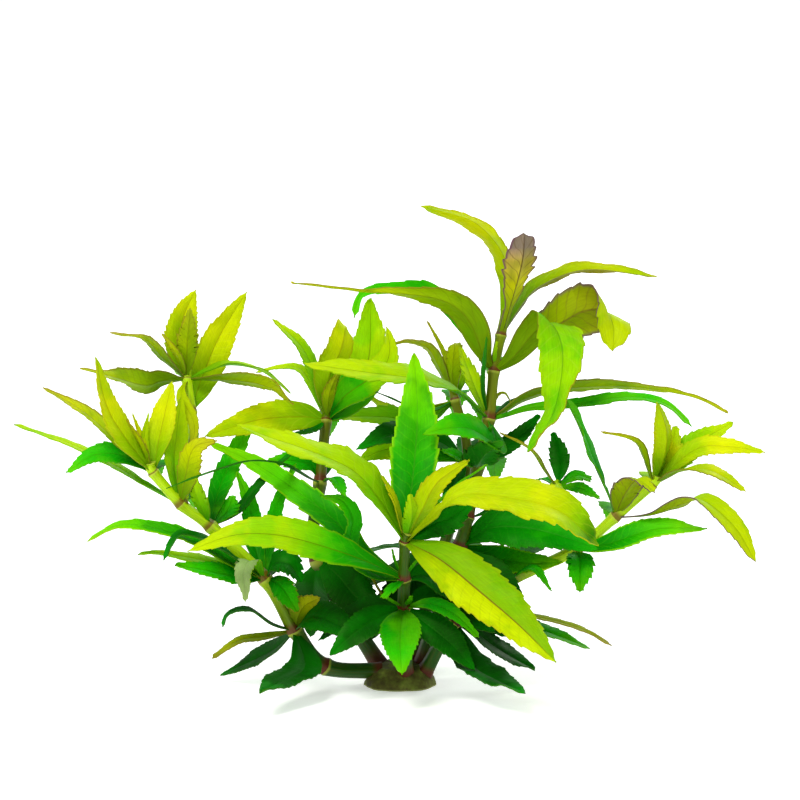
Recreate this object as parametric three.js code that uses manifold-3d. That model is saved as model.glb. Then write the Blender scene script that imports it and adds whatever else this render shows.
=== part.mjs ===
// Pogostemon pumilus, a bushy aquarium stem plant grown out of water, cut off flat at its base.
// Six stems rise from one rooted crown and two more branch from them. Whorls of narrow toothed
// leaves sit at the stem joints, one on each side, in front and behind.
// Millimetres, +Z up. The origin is the middle of the flat cut under the crown.
import * as THREE from "three";
import { mergeVertices } from "three/addons/utils/BufferGeometryUtils.js";
import Module from "manifold-3d";

const wasm = await Module();
wasm.setup();

// The plant is laid out as it is seen from the front: across to the right, up and deep, in
// millimetres from a point VIEW_HEIGHT above the cut, by an eye that looks down a little.
const VIEW_HEIGHT = 58;
const VIEW_DISTANCE = 1000;
const VIEW_TILT = THREE.MathUtils.degToRad(8);

// Driving sizes of the stems and the crown.
const STEM_FOOT_RADIUS = 1.55;
const STEM_TIP_RADIUS = 0.85;
const JOINT_SWELLING = 1.18;
const STEM_SIDES = 8;
const STEM_STEP = 6;
const CROWN_RADIUS = 7.5;
const CROWN_HEIGHT = 5.5;

// Driving sizes of a leaf: its stalk, its thickness and how much its halves fold up.
const STALK_WIDTH = 1.1;
const RIB_THICKNESS = 0.6;
const FOLD = 0.2;
const WIDEST_BEFORE_MIDDLE = 0.82;
const BLADE_FULLNESS = 0.85;
const LEAF_STEP = 4.8;
const FEWEST_LEAF_STEPS = 4;
const MOST_LEAF_STEPS = 8;
const MOST_SMALL_LEAF_STEPS = 5;

// Touching pieces keep this gap.
const GAP = 0.35;

const COLOURS = {
  yellow: { color: 0xd8e010, roughness: 0.45, metalness: 0 },
  lime: { color: 0xa6d90c, roughness: 0.45, metalness: 0 },
  bright: { color: 0x4cbc0a, roughness: 0.42, metalness: 0 },
  deep: { color: 0x0d7412, roughness: 0.4, metalness: 0 },
  young: { color: 0x86862e, roughness: 0.5, metalness: 0 },
  stem: { color: 0x8aa51e, roughness: 0.5, metalness: 0 },
  crown: { color: 0x6b6a2c, roughness: 0.7, metalness: 0 },
};

// Each stem: the points of its foot, as x, y, z, then its joints, as across, up, deep.
const STEMS = {
  front: {
    foot: [[1, -4, 3]],
    joints: {
      front_low: [0.8, -41.4, -8],
      front_mid: [0.8, -35.8, -11],
      front_top: [1, -28.2, -15],
      front_end: [1.6, -26.5, -16],
    },
  },
  tall: {
    foot: [[4, 2, 3]],
    joints: {
      tall_base: [12, -29, 2],
      tall_low: [13.4, -23.6, 3],
      tall_mid: [15.6, -13.2, 4.5],
      tall_fork: [17.8, -3.8, 6],
      tall_upper: [18.8, 5.8, 7],
      tall_top: [20.2, 13, 7.5],
      tall_end: [21.2, 18, 8],
    },
  },
  left: {
    foot: [[-4, -1, 3], [-12, -4, 3.4]],
    joints: {
      left_base: [-21.6, -46.4, 0],
      left_low: [-27.6, -36.2, -2],
      left_mid: [-37.6, -25, -4],
      left_upper: [-43.4, -20.6, -5],
      left_top: [-49.4, -14.4, -7],
      left_end: [-50, -12.6, -7.5],
    },
  },
  left_branch: {
    foot: [],
    joints: {
      left_mid: [-37.6, -25, -4],
      left_branch_bend: [-38.8, -19.4, -1],
      left_branch_low: [-40.6, -9.4, 3],
      left_branch_top: [-42.6, 4.2, 7],
      left_branch_end: [-42.6, 6, 7.3],
    },
  },
  middle: {
    foot: [[-4, 4, 3]],
    joints: {
      middle_base: [-16.6, -32, 7],
      middle_low: [-16, -16.4, 11],
      middle_top: [-14.8, -4, 14],
      middle_end: [-15, -1.6, 14.5],
    },
  },
  back: {
    foot: [[2, 5, 3]],
    joints: {
      back_base: [8, -32, 14],
      back_low: [13.4, -12.4, 18],
      back_top: [11, 0, 20],
      back_end: [10.4, 3, 20.5],
    },
  },
  right: {
    foot: [[5, -1.5, 3]],
    joints: {
      right_base: [11, -44.4, 0],
      right_low: [21, -36.6, 1.5],
      right_mid: [35, -29.6, 2],
      right_upper: [42.8, -22.6, 0],
      right_top: [50.4, -16.2, -2],
      right_end: [51.4, -14.8, -2.5],
    },
  },
  right_branch: {
    foot: [],
    joints: {
      right_mid: [35, -29.6, 2],
      right_branch_low: [33.8, -21, 5],
      right_branch_top: [31.4, -17.4, 8],
      right_branch_end: [31, -16.6, 8.5],
    },
  },
};

// Where the two branches leave their parent stems.
const PARENT_STEM = { left_branch: "left", right_branch: "right" };

// Grown leaves, each a piece of its own: the joint that it grows from, its colour, its full
// width, its roll about its own length in degrees, and the points that it runs through.
const LEAVES = {
  front_low_forward: ["front_low", "bright", 7.6, [0],
    [[0.2, -44.4, -14], [0, -49, -20], [0.4, -54.8, -24]]],
  front_low_left: ["front_low", "deep", 6, [-45], [[-6, -41.6, -4], [-12, -44.4, -2], [-16.4, -48, -1]]],
  front_low_behind: ["front_low", "deep", 7, [50], [[6, -39.6, -5], [12, -41.6, -5], [19, -46.5, -7]]],
  front_mid_left: ["front_mid", "lime", 7.4, [-55],
    [[-6, -32.6, -15.5], [-14, -28.8, -19], [-24, -26.6, -20], [-33, -26.8, -20], [-42.6, -30.2, -18]]],
  front_mid_far_left: ["front_mid", "bright", 6, [-50],
    [[-7, -29.4, -7], [-12, -23.2, -3], [-20, -17.4, 1], [-29, -12.6, 3], [-38.6, -8.4, 2]]],
  front_mid_small_left: ["front_mid", "bright", 4.6, [-40],
    [[-5, -29.6, -12], [-8.2, -23, -14], [-11, -19.8, -14], [-15.6, -19.2, -12]]],
  front_top_down_right: ["front_top", "yellow", 10.5, [35],
    [[8, -31.6, -21], [16, -38, -26], [24, -45, -30], [31.2, -52.4, -33]]],
  front_top_right_arch: ["front_top", "yellow", 9, [50],
    [[6.6, -23.6, -20.5], [11, -18.8, -22.5], [18, -16.6, -24], [29, -19.2, -25], [39.6, -29.6, -23]]],
  front_top_left_arch: ["front_top", "lime", 8.6, [-50],
    [[-2.8, -21.6, -18], [-9, -14.8, -20], [-18, -10.4, -21], [-26, -7.4, -20], [-32.8, -4.8, -18]]],
  front_top_upright: ["front_top", "bright", 9, [0],
    [[1.8, -21, -12], [2.8, -12, -9], [3.4, -2, -6], [2.8, 9.4, -3]]],
  tall_base_right: ["tall_base", "deep", 9.4, [50],
    [[18, -25.4, -1], [26, -25.4, -4], [34, -27.6, -6], [39.6, -29.8, -7]]],
  tall_base_left: ["tall_base", "deep", 7, [-30], [[6, -30, 6], [-1, -31, 8], [-10, -35, 8]]],
  tall_mid_left: ["tall_fork", "bright", 7, [-45], [[15.6, -4.8, 0], [11, -5.4, -4], [4.6, -6.6, -7]]],
  tall_mid_right: ["tall_mid", "deep", 6.5, [30], [[19, -10.4, 8], [24, -6.4, 10], [29.6, -0.8, 12]]],
  tall_fork_left: ["tall_fork", "lime", 6.8, [-60],
    [[14.6, 0, 4], [11, 2.8, 3], [4, 4.8, 1.5], [-6, 6, 1], [-19.4, 7.6, 3]]],
  tall_fork_right_upper: ["tall_fork", "bright", 4.4, [-15],
    [[24, -0.4, 8], [32, 2.8, 9], [46, 4, 9], [58, 1.8, 7], [65.6, -2.6, 5]]],
  tall_fork_right_lower: ["tall_fork", "bright", 3.6, [10],
    [[25, -1.4, 6], [35, -0.4, 5], [47, 1.4, 4], [54, -0.4, 2], [58.4, -5.2, 0]]],
  tall_upper_left: ["tall_upper", "young", 6.4, [45],
    [[15.4, 13, 6], [12.4, 19.4, 4], [8, 21.8, 3], [-2, 21.8, 1], [-12, 22.6, 0], [-21.8, 24, 0]]],
  tall_upper_left_behind: ["tall_upper", "bright", 3.6, [-20],
    [[14, 14, 12], [7, 23.2, 12], [0, 23.8, 10], [-6.4, 22, 8], [-9, 16.8, 7]]],
  tall_upper_hanging: ["tall_upper", "lime", 8, [-50, -50, 70, 70],
    [[22.4, 10, 5], [27, 15.6, 2], [30.6, 16.6, -2], [32.6, 10, -6], [31.8, 0, -8], [25.4, -10.4, -8]]],
  tall_top_left: ["tall_top", "yellow", 4.2, [35],
    [[20.4, 22, 6], [18.8, 29.6, 4], [14, 35.2, 2], [4.2, 38.6, 0]]],
  tall_top_middle: ["tall_top", "young", 6, [0], [[21.8, 23, 4], [23.6, 28.4, 1.5], [24.8, 33.4, 0]]],
  tall_top_right: ["tall_top", "lime", 3.4, [-25],
    [[23.4, 20, 8], [28, 24.2, 9], [38, 26.8, 9], [51.2, 24.6, 7]]],
  tall_top_drooping: ["tall_top", "young", 9, [-60, -60, 50],
    [[25, 15, 11], [30.6, 17.4, 10], [38, 19.4, 8], [42.8, 16.4, 5], [41.8, 10, 3]]],
  left_top_far: ["left_top", "lime", 3, [40], [[-56.4, -7.4, -8], [-63, -1.8, -9], [-71.4, 3, -9]]],
  left_top_up: ["left_top", "yellow", 4, [-50], [[-54.4, -8, -10], [-58.6, -1, -11], [-61, 8.8, -12]]],
  left_top_inner: ["left_top", "yellow", 4.6, [0], [[-48, -8, -5], [-46.4, -2, -3], [-45.4, 3.8, -1]]],
  left_upper_far: ["left_upper", "lime", 2.6, [-5],
    [[-50, -17.2, -3], [-58, -12.4, -1], [-67, -8.2, 0], [-77.2, -4.8, 0]]],
  left_upper_up: ["left_upper", "lime", 5.2, [0], [[-44.2, -13, -3.5], [-44.6, -6, -2], [-44, 0.8, -1]]],
  left_low_arch: ["left_low", "bright", 2.8, [-15],
    [[-33.6, -31.2, -5], [-40.4, -27, -7], [-48, -24.8, -8], [-56, -24.4, -8], [-62.6, -28, -8]]],
  left_branch_left_up: ["left_branch_top", "yellow", 4, [-30],
    [[-45.6, 10, 6], [-45, 16, 6], [-41, 22, 7]]],
  left_branch_right_up: ["left_branch_top", "lime", 5.4, [55],
    [[-40, 7, 9], [-36, 13.6, 11], [-30.4, 21.6, 12]]],
  left_branch_right_long: ["left_branch_top", "young", 3.4, [-35],
    [[-37, 4.8, 5], [-30, 3.8, 3], [-22, -0.2, 1]]],
  left_branch_left_long: ["left_branch_top", "young", 4.8, [45],
    [[-47, 5, 5], [-52, 5.2, 4], [-58, 6.2, 4], [-64, 6.2, 4]]],
  middle_top_left: ["middle_top", "lime", 6.6, [-60], [[-20, -3.6, 11], [-28, -3.2, 8], [-39.4, -7.6, 5]]],
  middle_top_left_up: ["middle_top", "lime", 3.4, [-30],
    [[-17.2, 4, 13], [-20, 10.4, 12], [-25.6, 16, 10]]],
  middle_top_right_up: ["middle_top", "bright", 7, [40], [[-11, -0.4, 17], [-7.6, 8, 19], [-5.8, 20, 20]]],
  middle_low_left: ["middle_low", "deep", 2.4, [-10],
    [[-20, -14.8, 6], [-23.4, -12.6, 0], [-30, -12.2, -5], [-39, -14.8, -11], [-46.8, -17.6, -12]]],
  middle_base_right: ["middle_base", "deep", 8, [45],
    [[-13, -34.4, 3.5], [-9, -39, 1.5], [-3, -45.6, -0.5]]],
  back_low_left: ["back_low", "deep", 5, [-40], [[8, -8, 14], [-1, -6.4, 11], [-8.8, -9.8, 9]]],
  right_top_right_up: ["right_top", "lime", 5, [50], [[58, -9.6, 0], [66.6, -4.2, 2]]],
  right_top_right: ["right_top", "yellow", 4, [50], [[59, -10, -4], [65.6, -9, -6], [73, -10, -7]]],
  right_top_right_low: ["right_top", "lime", 3.8, [-30, 45],
    [[56.4, -13.4, -5], [62.4, -13.4, -7], [69.2, -17.8, -8]]],
  right_upper_left: ["right_upper", "bright", 3.6, [-40],
    [[41.6, -17.4, -1], [38.4, -9, -1], [33.4, 0.4, -1]]],
  right_upper_long: ["right_upper", "lime", 5, [-10, -20, 45, 50],
    [[50, -22, -4], [58.4, -20, -7], [65, -23, -9], [71, -32.2, -10]]],
  right_mid_right: ["right_mid", "lime", 4.8, [45], [[42, -27.4, -2], [51, -24.6, -4], [61.6, -26.4, -5]]],
  right_base_far: ["right_base", "young", 3, [5],
    [[18, -41.6, 3], [28, -43, 2], [36, -45, 0], [42.4, -48.6, -2]]],
  right_base_near: ["right_base", "bright", 5, [25], [[18, -44.4, 4], [27, -45.4, 4], [38, -49.6, 3]]],
  ground_front_left: ["left_base", "deep", 7, [0], [[-19, -53, -8], [-24, -56, -18], [-28, -58.5, -28]]],
  ground_front_right: ["right_base", "deep", 7, [0], [[14, -52, -8], [20, -56, -18], [25, -58.5, -28]]],
  ground_back: ["back_base", "deep", 7, [0], [[8, -40, 26], [8, -47, 34], [7, -52.5, 44]]],
};

// Young, small and innermost leaves, joined to the stem that they grow from.
const SMALL_LEAVES = [
  ["front_low", 2.8, [45], [[6, -40.6, -12], [11, -42.8, -15], [15.8, -47.4, -17]]],
  ["front_low", 1.6, [0], [[-1.6, -40.2, -11], [-3.4, -38.8, -13]]],
  ["front_low", 1.2, [0], [[1.8, -40.2, -11], [2.2, -39.2, -12.5]]],
  ["front_mid", 1.6, [0], [[-0.8, -32.6, -12], [-1.4, -29.8, -12.5]]],
  ["front_mid", 1.4, [0], [[2.6, -33, -12.5], [4.2, -31.2, -13]]],
  ["front_mid", 2.4, [0], [[-1.6, -37.6, -15], [-3.4, -39.6, -17]]],
  ["front_mid", 7, [45], [[5, -34.8, -9], [11, -37.4, -8], [19.5, -41.5, -8]]],
  ["front_top", 4.4, [-40], [[4, -22.4, -18], [7.4, -16.4, -17], [13.8, -12, -15]]],
  ["front_top", 3, [0], [[2.2, -23, -18.5], [2, -18.8, -20]]],
  ["front_top", 3.4, [-45], [[-0.4, -21.6, -17], [-2.4, -17.2, -18], [-4.6, -13.2, -19]]],
  ["front_top", 3.2, [-30], [[5.6, -22.4, -12], [11, -17.2, -8], [17.4, -12.8, -6]]],
  ["tall_fork", 2.8, [0], [[15.6, 1.6, 8], [12, 10.6, 12]]],
  ["tall_fork", 1.8, [0], [[16.6, 3, 4.5], [17.4, 12.6, 3]]],
  ["tall_fork", 1, [0], [[21.4, -0.2, 9.5], [25.4, 3.4, 12]]],
  ["tall_upper", 0.8, [0], [[19, 9.6, 5.5], [19.4, 11.8, 5]]],
  ["tall_low", 3, [0], [[17, -22.4, 4], [21, -20, 6], [27, -18.4, 8]]],
  ["left_top", 3.4, [-40], [[-55, -11, -6], [-61, -10, -6], [-67, -14.2, -7]]],
  ["left_top", 2.2, [0], [[-52, -8, -9.5], [-54.6, -3.8, -11]]],
  ["left_top", 1.8, [0], [[-51.4, -8, -7], [-53.4, -2.6, -6.5]]],
  ["left_top", 1.6, [0], [[-50.6, -8, -6], [-50, -2.6, -5]]],
  ["left_upper", 4.4, [-60], [[-42.8, -14, -8], [-40.6, -9.4, -9], [-36.4, -7.8, -9]]],
  ["left_mid", 3.8, [0], [[-40, -20, -7], [-42, -14, -8.5]]],
  ["left_mid", 4.6, [10], [[-34.8, -18.6, 4], [-31.8, -9.6, 10], [-26.4, 0.4, 14]]],
  ["left_mid", 4.4, [0], [[-35.6, -21.6, 0], [-34.2, -18, 3]]],
  ["left_mid", 2.6, [0], [[-33, -22.4, 1], [-27.6, -16, 5], [-21.6, -10.4, 7]]],
  ["left_low", 2.6, [-25], [[-35, -30.2, -9], [-43, -26.6, -11], [-47.6, -32.2, -13]]],
  ["left_low", 2.8, [-15], [[-34, -32.8, -3], [-42, -30.6, -3], [-49, -30, -3], [-52.8, -31.8, -4]]],
  ["left_low", 4.4, [-40], [[-33, -34.8, -6], [-39, -33.2, -8], [-44.8, -32.6, -9]]],
  ["left_low", 4.2, [0], [[-30, -32.6, -8], [-31.6, -34.4, -11], [-31.4, -40.4, -12]]],
  ["left_low", 4, [0], [[-29.2, -28, 2], [-30, -21, 4], [-32.6, -14.2, 4]]],
  ["left_low", 2.8, [0], [[-26, -28, 3], [-24.2, -20, 5], [-20.8, -12.6, 6]]],
  ["left_low", 4.6, [0], [[-31, -32.6, -1], [-35.6, -28.8, 1]]],
  ["left_low", 4.2, [40], [[-25.6, -31.6, -4], [-22, -32, -5], [-17.6, -37.6, -4]]],
  ["left_low", 4.2, [45], [[-24, -37, -5], [-20.4, -42.4, -6]]],
  ["left_base", 2, [-10], [[-26, -44.4, -2], [-31.4, -41.4, -4], [-34.8, -42.4, -5], [-35.6, -45.4, -5]]],
  ["left_base", 3.2, [-40], [[-19.4, -41.4, -4], [-16, -39.4, -5]]],
  ["left_base", 3, [-20], [[-27, -47.2, 1], [-32.4, -48, 0], [-37.6, -51.6, -2]]],
  ["left_base", 5, [45], [[-18, -43, -6], [-13, -44.4, -10], [-7.6, -48, -13]]],
  ["left_branch_top", 3.8, [0], [[-42.6, 11, 4], [-42, 18.4, 2]]],
  ["left_branch_top", 2.4, [20], [[-47, 8.4, 5], [-51, 12.4, 3], [-58, 13.6, 1]]],
  ["left_branch_top", 1.8, [0], [[-44.4, 9, 3.5], [-47.6, 13.4, 1]]],
  ["left_branch_top", 3, [15], [[-38, 5.6, 10], [-33.6, 8.2, 12], [-27.6, 5.8, 13], [-21.2, -0.4, 13]]],
  ["left_branch_top", 2, [20], [[-43.8, 1, 2], [-41.2, -5, 0], [-42, -10.6, -1]]],
  ["left_branch_low", 4, [0], [[-41, -5, 10], [-44, 0, 16], [-50, 2, 20]]],
  ["middle_top", 5, [0], [[-14.4, 5, 12], [-12.4, 11, 10], [-11.6, 14.8, 8]]],
  ["middle_top", 2.4, [0], [[-14.2, 1.6, 11], [-12.4, 5.6, 9]]],
  ["middle_top", 2, [-10], [[-17.6, 3, 16], [-20, 6.4, 17], [-24, 6.8, 18], [-28.8, 5.6, 19]]],
  ["middle_low", 3, [0], [[-13, -15.6, 8], [-11, -19.4, 5]]],
  ["middle_low", 5, [0], [[-15, -12, 18], [-14, -9, 25], [-13, -12, 32]]],
  ["middle_base", 3, [-40], [[-11, -32.6, 5], [-6.4, -34.4, 2], [-3.2, -39.6, 1]]],
  ["middle_base", 5, [0], [[-20, -30, 14], [-28, -33, 22]]],
  ["back_top", 2.6, [10], [[8.6, 5.6, 19], [5, 10.8, 18], [-1.4, 11.2, 16]]],
  ["back_top", 2.6, [0], [[10.4, 5, 18], [10.2, 10.8, 15]]],
  ["back_top", 1.2, [0], [[9.2, 8.4, 21], [5.4, 16, 22]]],
  ["back_top", 2, [0], [[12.4, 4.4, 22], [14, 7.6, 24]]],
  ["back_top", 3.6, [30], [[6, -3, 20], [-3, -2.2, 19], [-15, -3.8, 20]]],
  ["back_top", 1.6, [0], [[5, -2, 16], [-5, 1.8, 14]]],
  ["back_top", 3, [0], [[3, -3.6, 22], [-6, -0.4, 22]]],
  ["back_low", 4, [-20], [[7, -10, 17], [-6.8, -11.2, 13]]],
  ["back_low", 4, [0], [[11, -15.6, 15], [8.6, -20, 13]]],
  ["back_low", 5.5, [0], [[15, -9, 26], [17, -8, 33], [19, -13, 40]]],
  ["back_base", 6, [0], [[10, -29, 22], [14, -29, 30], [18, -35, 38]]],
  ["back_base", 6, [0], [[2, -29, 20], [-6, -30, 26], [-14, -36, 30]]],
  ["right_top", 1.8, [20], [[49.2, -11.6, -3], [47.2, -8, -4], [40.2, -6.2, -5]]],
  ["right_top", 3.2, [0], [[51.4, -9, -4], [51.6, -0.4, -6]]],
  ["right_top", 3.6, [0], [[53, -10, -1], [54.6, -4.6, 0]]],
  ["right_upper", 5.6, [-50, 30], [[44.4, -18, -4], [46.8, -15, -7], [50.4, -18.4, -9]]],
  ["right_mid", 5, [0], [[36, -32, -3], [36, -38.4, -6]]],
  ["right_low", 2, [30], [[26.4, -33.2, -3], [30.4, -38.2, -4]]],
  ["right_low", 5, [0], [[24, -31, 8], [29, -28, 14], [33, -27, 20]]],
  ["right_branch_top", 1.8, [10], [[29.4, -13.6, 7], [26.6, -9.6, 5], [20.6, -6.2, 3]]],
  ["right_branch_top", 3.8, [0], [[32.4, -12.4, 9], [30.4, -6.4, 11]]],
  ["right_branch_top", 2.8, [30], [[35, -15, 8], [38.4, -15.8, 8]]],
  ["right_branch_top", 2.4, [40], [[35.6, -17.4, 5], [40, -19.6, 3]]],
  ["right_branch_top", 2, [0], [[29, -15.6, 11], [26.2, -16.2, 13]]],
  ["front_low", 6, [-45], [[-4.4, -43.4, -11], [-9, -46.4, -14], [-14, -51, -15]]],
  ["front_low", 6, [45], [[5, -44.4, -10], [10, -48.4, -12], [15, -54, -13]]],
  ["tall_base", 7, [40], [[15, -33, -1], [19.4, -36, -3], [25, -42, -5]]],
  ["back_base", 8, [45], [[12, -36, 11], [17, -40, 9], [23, -46, 8]]],
  ["back_base", 7, [-40], [[3, -36, 11], [-2, -41, 10], [-6, -48, 8]]],
  ["middle_base", 8, [-45], [[-20, -36, 5], [-25, -40, 6], [-30, -47, 7]]],
  ["right_base", 7, [40], [[15, -47, 3], [20, -51, 5], [27, -55, 6]]],
  ["left_base", 6, [-40], [[-25, -49.4, 4], [-30, -52, 8], [-36, -55, 10]]],
  ["tall_mid", 5, [0], [[17.4, -12, 11], [20.4, -12, 18], [22, -16.4, 26]]],
  ["tall_fork", 6, [0], [[17.6, -2, 14], [17.4, -1.4, 22], [17, -6, 31]]],
  ["tall_upper", 5, [0], [[18.6, 7.4, 15], [18.4, 8.6, 22], [18, 5, 30]]],
  ["left_upper", 5, [0], [[-43, -18.8, 2], [-42, -17.8, 10], [-41, -21.4, 18]]],
  ["left_low", 6, [0], [[-27, -34.4, 6], [-27, -32.8, 14], [-27, -37, 22]]],
  ["left_top", 4, [0], [[-49, -12.8, 0], [-48.4, -12, 7], [-48, -15, 13]]],
  ["left_branch_top", 5, [0], [[-42.4, 5.4, 14], [-42, 5.8, 21], [-41.6, 2, 28]]],
  ["middle_top", 6, [0], [[-14.8, -2.8, 21], [-14.4, -2.6, 28], [-14, -7, 35]]],
  ["right_upper", 5, [0], [[42.6, -21.2, 7], [42.4, -20.6, 14], [42, -25, 21]]],
  ["right_top", 4, [0], [[50.2, -15, 4], [50, -14.4, 10], [50, -17.6, 16]]],
  ["back_top", 5, [0], [[11, 1.4, 27], [11.2, 1.6, 34], [11, -3.4, 41]]],
];

// A point seen at across, up and deep, as x, y, z.
function place([across, up, deep]) {
  const spread = 1 + deep / VIEW_DISTANCE;
  const rise = up * spread;
  return new THREE.Vector3(
    across * spread,
    deep * Math.cos(VIEW_TILT) + rise * Math.sin(VIEW_TILT),
    VIEW_HEIGHT + rise * Math.cos(VIEW_TILT) - deep * Math.sin(VIEW_TILT),
  );
}

function smoothPath(points) {
  return new THREE.CatmullRomCurve3(points, false, "catmullrom", 0.5);
}

// Places along a path from a start to its end, each with its point, its direction and a side and
// an upper direction square to it, which start level and turn no more than the path does.
function framesAlong(path, start, steps) {
  const frames = [];
  let side = null;
  for (let i = 0; i <= steps; i++) {
    const along = start + ((1 - start) * i) / steps;
    const ahead = path.getTangentAt(along);
    side = side ?? new THREE.Vector3().crossVectors(ahead, new THREE.Vector3(0, 0, 1));
    side.addScaledVector(ahead, -side.dot(ahead)).normalize();
    const upper = new THREE.Vector3().crossVectors(side, ahead);
    frames.push({ share: i / steps, along, point: path.getPointAt(along), ahead, side: side.clone(), upper });
  }
  return frames;
}

// A closed surface through rings of the same number of points, pointed at its far end.
function skin(rings, tip) {
  const sides = rings[0].length;
  const corners = [...rings.flat(), tip];
  const last = corners.length - 1;
  const faces = [];
  for (let k = 1; k < sides - 1; k++) faces.push(0, k + 1, k);
  for (let i = 0; i < rings.length; i++) {
    for (let k = 0; k < sides; k++) {
      const here = i * sides + k;
      const beside = i * sides + ((k + 1) % sides);
      if (i === rings.length - 1) faces.push(here, beside, last);
      else faces.push(here, beside, here + sides, beside, beside + sides, here + sides);
    }
  }
  const geometry = new THREE.BufferGeometry().setFromPoints(corners);
  return geometry.setIndex(faces);
}

function solidOf(geometry) {
  const bare = geometry.clone();
  bare.deleteAttribute("normal");
  bare.deleteAttribute("uv");
  const merged = mergeVertices(bare, 1e-4);
  return new wasm.Manifold(
    new wasm.Mesh({
      numProp: 3,
      vertProperties: merged.attributes.position.array,
      triVerts: new Uint32Array(merged.index.array),
    }),
  );
}

function geometryOf(solid) {
  const mesh = solid.getMesh();
  const geometry = new THREE.BufferGeometry();
  geometry.setAttribute("position", new THREE.BufferAttribute(mesh.vertProperties, 3));
  geometry.setIndex(new THREE.BufferAttribute(mesh.triVerts, 1));
  geometry.computeVertexNormals();
  return geometry;
}

const stemPaths = {};
const jointPoints = {};
const jointStem = {};
for (const [name, stem] of Object.entries(STEMS)) {
  const feet = stem.foot.map(([x, y, z]) => new THREE.Vector3(x, y, z));
  const joints = Object.entries(stem.joints).map(([joint, seen]) => {
    jointPoints[joint] = jointPoints[joint] ?? place(seen);
    jointStem[joint] = jointStem[joint] ?? name;
    return jointPoints[joint];
  });
  stemPaths[name] = smoothPath([...feet, ...joints]);
}

function stemRadius(along) {
  return THREE.MathUtils.lerp(STEM_FOOT_RADIUS, STEM_TIP_RADIUS, along);
}

// How far a point is from the outside of a stem.
function clearOf(stemName, point) {
  const path = stemPaths[stemName];
  const checks = 160;
  let nearest = Infinity;
  for (let i = 0; i <= checks; i++) {
    const gap = path.getPointAt(i / checks).distanceTo(point) - stemRadius(i / checks);
    nearest = Math.min(nearest, gap);
  }
  return nearest;
}

// The share of a path at which it comes out of a stem, with room to spare.
function leavesStemAt(path, stemName, room) {
  const step = 0.004;
  let along = 0;
  while (along < 0.8 && clearOf(stemName, path.getPointAt(along)) < room) along += step;
  return along;
}

// A stem: round, thinner towards its tip, a little swollen at its joints.
function stemSolid(name) {
  const path = stemPaths[name];
  const parent = PARENT_STEM[name];
  const start = parent ? leavesStemAt(path, parent, stemRadius(0) + GAP) : 0;
  const steps = Math.round((path.getLength() * (1 - start)) / STEM_STEP) + 2;
  const joints = Object.keys(STEMS[name].joints).map((joint) => jointPoints[joint]);
  const rings = framesAlong(path, start, steps).map((frame) => {
    const nearest = Math.min(...joints.map((joint) => joint.distanceTo(frame.point)));
    const swelling = nearest < STEM_STEP / 3 ? JOINT_SWELLING : 1;
    const radius = stemRadius(frame.along) * swelling;
    const ring = [];
    for (let k = 0; k < STEM_SIDES; k++) {
      const turn = (2 * Math.PI * k) / STEM_SIDES;
      const corner = frame.point.clone();
      corner.addScaledVector(frame.side, -radius * Math.cos(turn));
      ring.push(corner.addScaledVector(frame.upper, radius * Math.sin(turn)));
    }
    return ring;
  });
  const end = framesAlong(path, start, steps).at(-1);
  return solidOf(skin(rings, end.point.clone().addScaledVector(end.ahead, STEM_TIP_RADIUS)));
}

function rollAt(rolls, share) {
  const spot = share * (rolls.length - 1);
  const before = Math.floor(Math.min(spot, Math.max(0, rolls.length - 2)));
  const after = Math.min(before + 1, rolls.length - 1);
  return THREE.MathUtils.degToRad(THREE.MathUtils.lerp(rolls[before], rolls[after], spot - before));
}

// A leaf: a folded blade, thickest at its rib, widest before its middle and pointed at its tip.
function leafSolid(joint, width, rolls, seenPoints, joined) {
  const path = smoothPath([jointPoints[joint], ...seenPoints.map(place)]);
  const room = GAP + RIB_THICKNESS / 2;
  const start = joined ? 0 : leavesStemAt(path, jointStem[joint], room);
  const length = path.getLength() * (1 - start);
  const most = joined ? MOST_SMALL_LEAF_STEPS : MOST_LEAF_STEPS;
  const steps = THREE.MathUtils.clamp(Math.round(length / LEAF_STEP), FEWEST_LEAF_STEPS, most);
  const frames = framesAlong(path, start, steps);
  const rings = frames.slice(0, -1).map((frame) => {
    const roll = rollAt(rolls, frame.share);
    const side = frame.side.clone().multiplyScalar(Math.cos(roll));
    side.addScaledVector(frame.upper, -Math.sin(roll));
    const upper = new THREE.Vector3().crossVectors(side, frame.ahead);
    const blade = Math.sin(Math.PI * frame.share ** WIDEST_BEFORE_MIDDLE) ** BLADE_FULLNESS;
    const half = Math.max(STALK_WIDTH / 2, (width / 2) * blade);
    const rib = (RIB_THICKNESS / 2) * (1 - 0.5 * frame.share);
    const at = (sideways, upwards) =>
      frame.point.clone().addScaledVector(side, sideways).addScaledVector(upper, upwards);
    return [at(-half, FOLD * half), at(0, rib), at(half, FOLD * half), at(0, -rib)];
  });
  return solidOf(skin(rings, frames.at(-1).point));
}

// The rooted crown: a low knobbly dome with its flat cut below.
function crownSolid(extra) {
  const profile = [
    [0, 0],
    [CROWN_RADIUS * 0.82, 0],
    [CROWN_RADIUS, CROWN_HEIGHT * 0.28],
    [CROWN_RADIUS * 0.93, CROWN_HEIGHT * 0.58],
    [CROWN_RADIUS * 0.66, CROWN_HEIGHT * 0.86],
    [CROWN_RADIUS * 0.3, CROWN_HEIGHT],
    [0, CROWN_HEIGHT * 0.95],
  ];
  const points = profile.map(([radius, height]) => {
    const outwards = radius > 0 ? extra : 0;
    return new THREE.Vector2(radius + outwards, height > 0 ? height + extra : -extra);
  });
  const turned = new THREE.LatheGeometry(points, 16);
  turned.rotateX(Math.PI / 2);
  return solidOf(turned);
}

// Everything above the flat cut.
function aboveCut(solid) {
  const reach = 400;
  const slab = new THREE.BoxGeometry(reach, reach, reach).translate(0, 0, reach / 2);
  return solid.intersect(solidOf(slab));
}

const plant = new THREE.Group();

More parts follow.
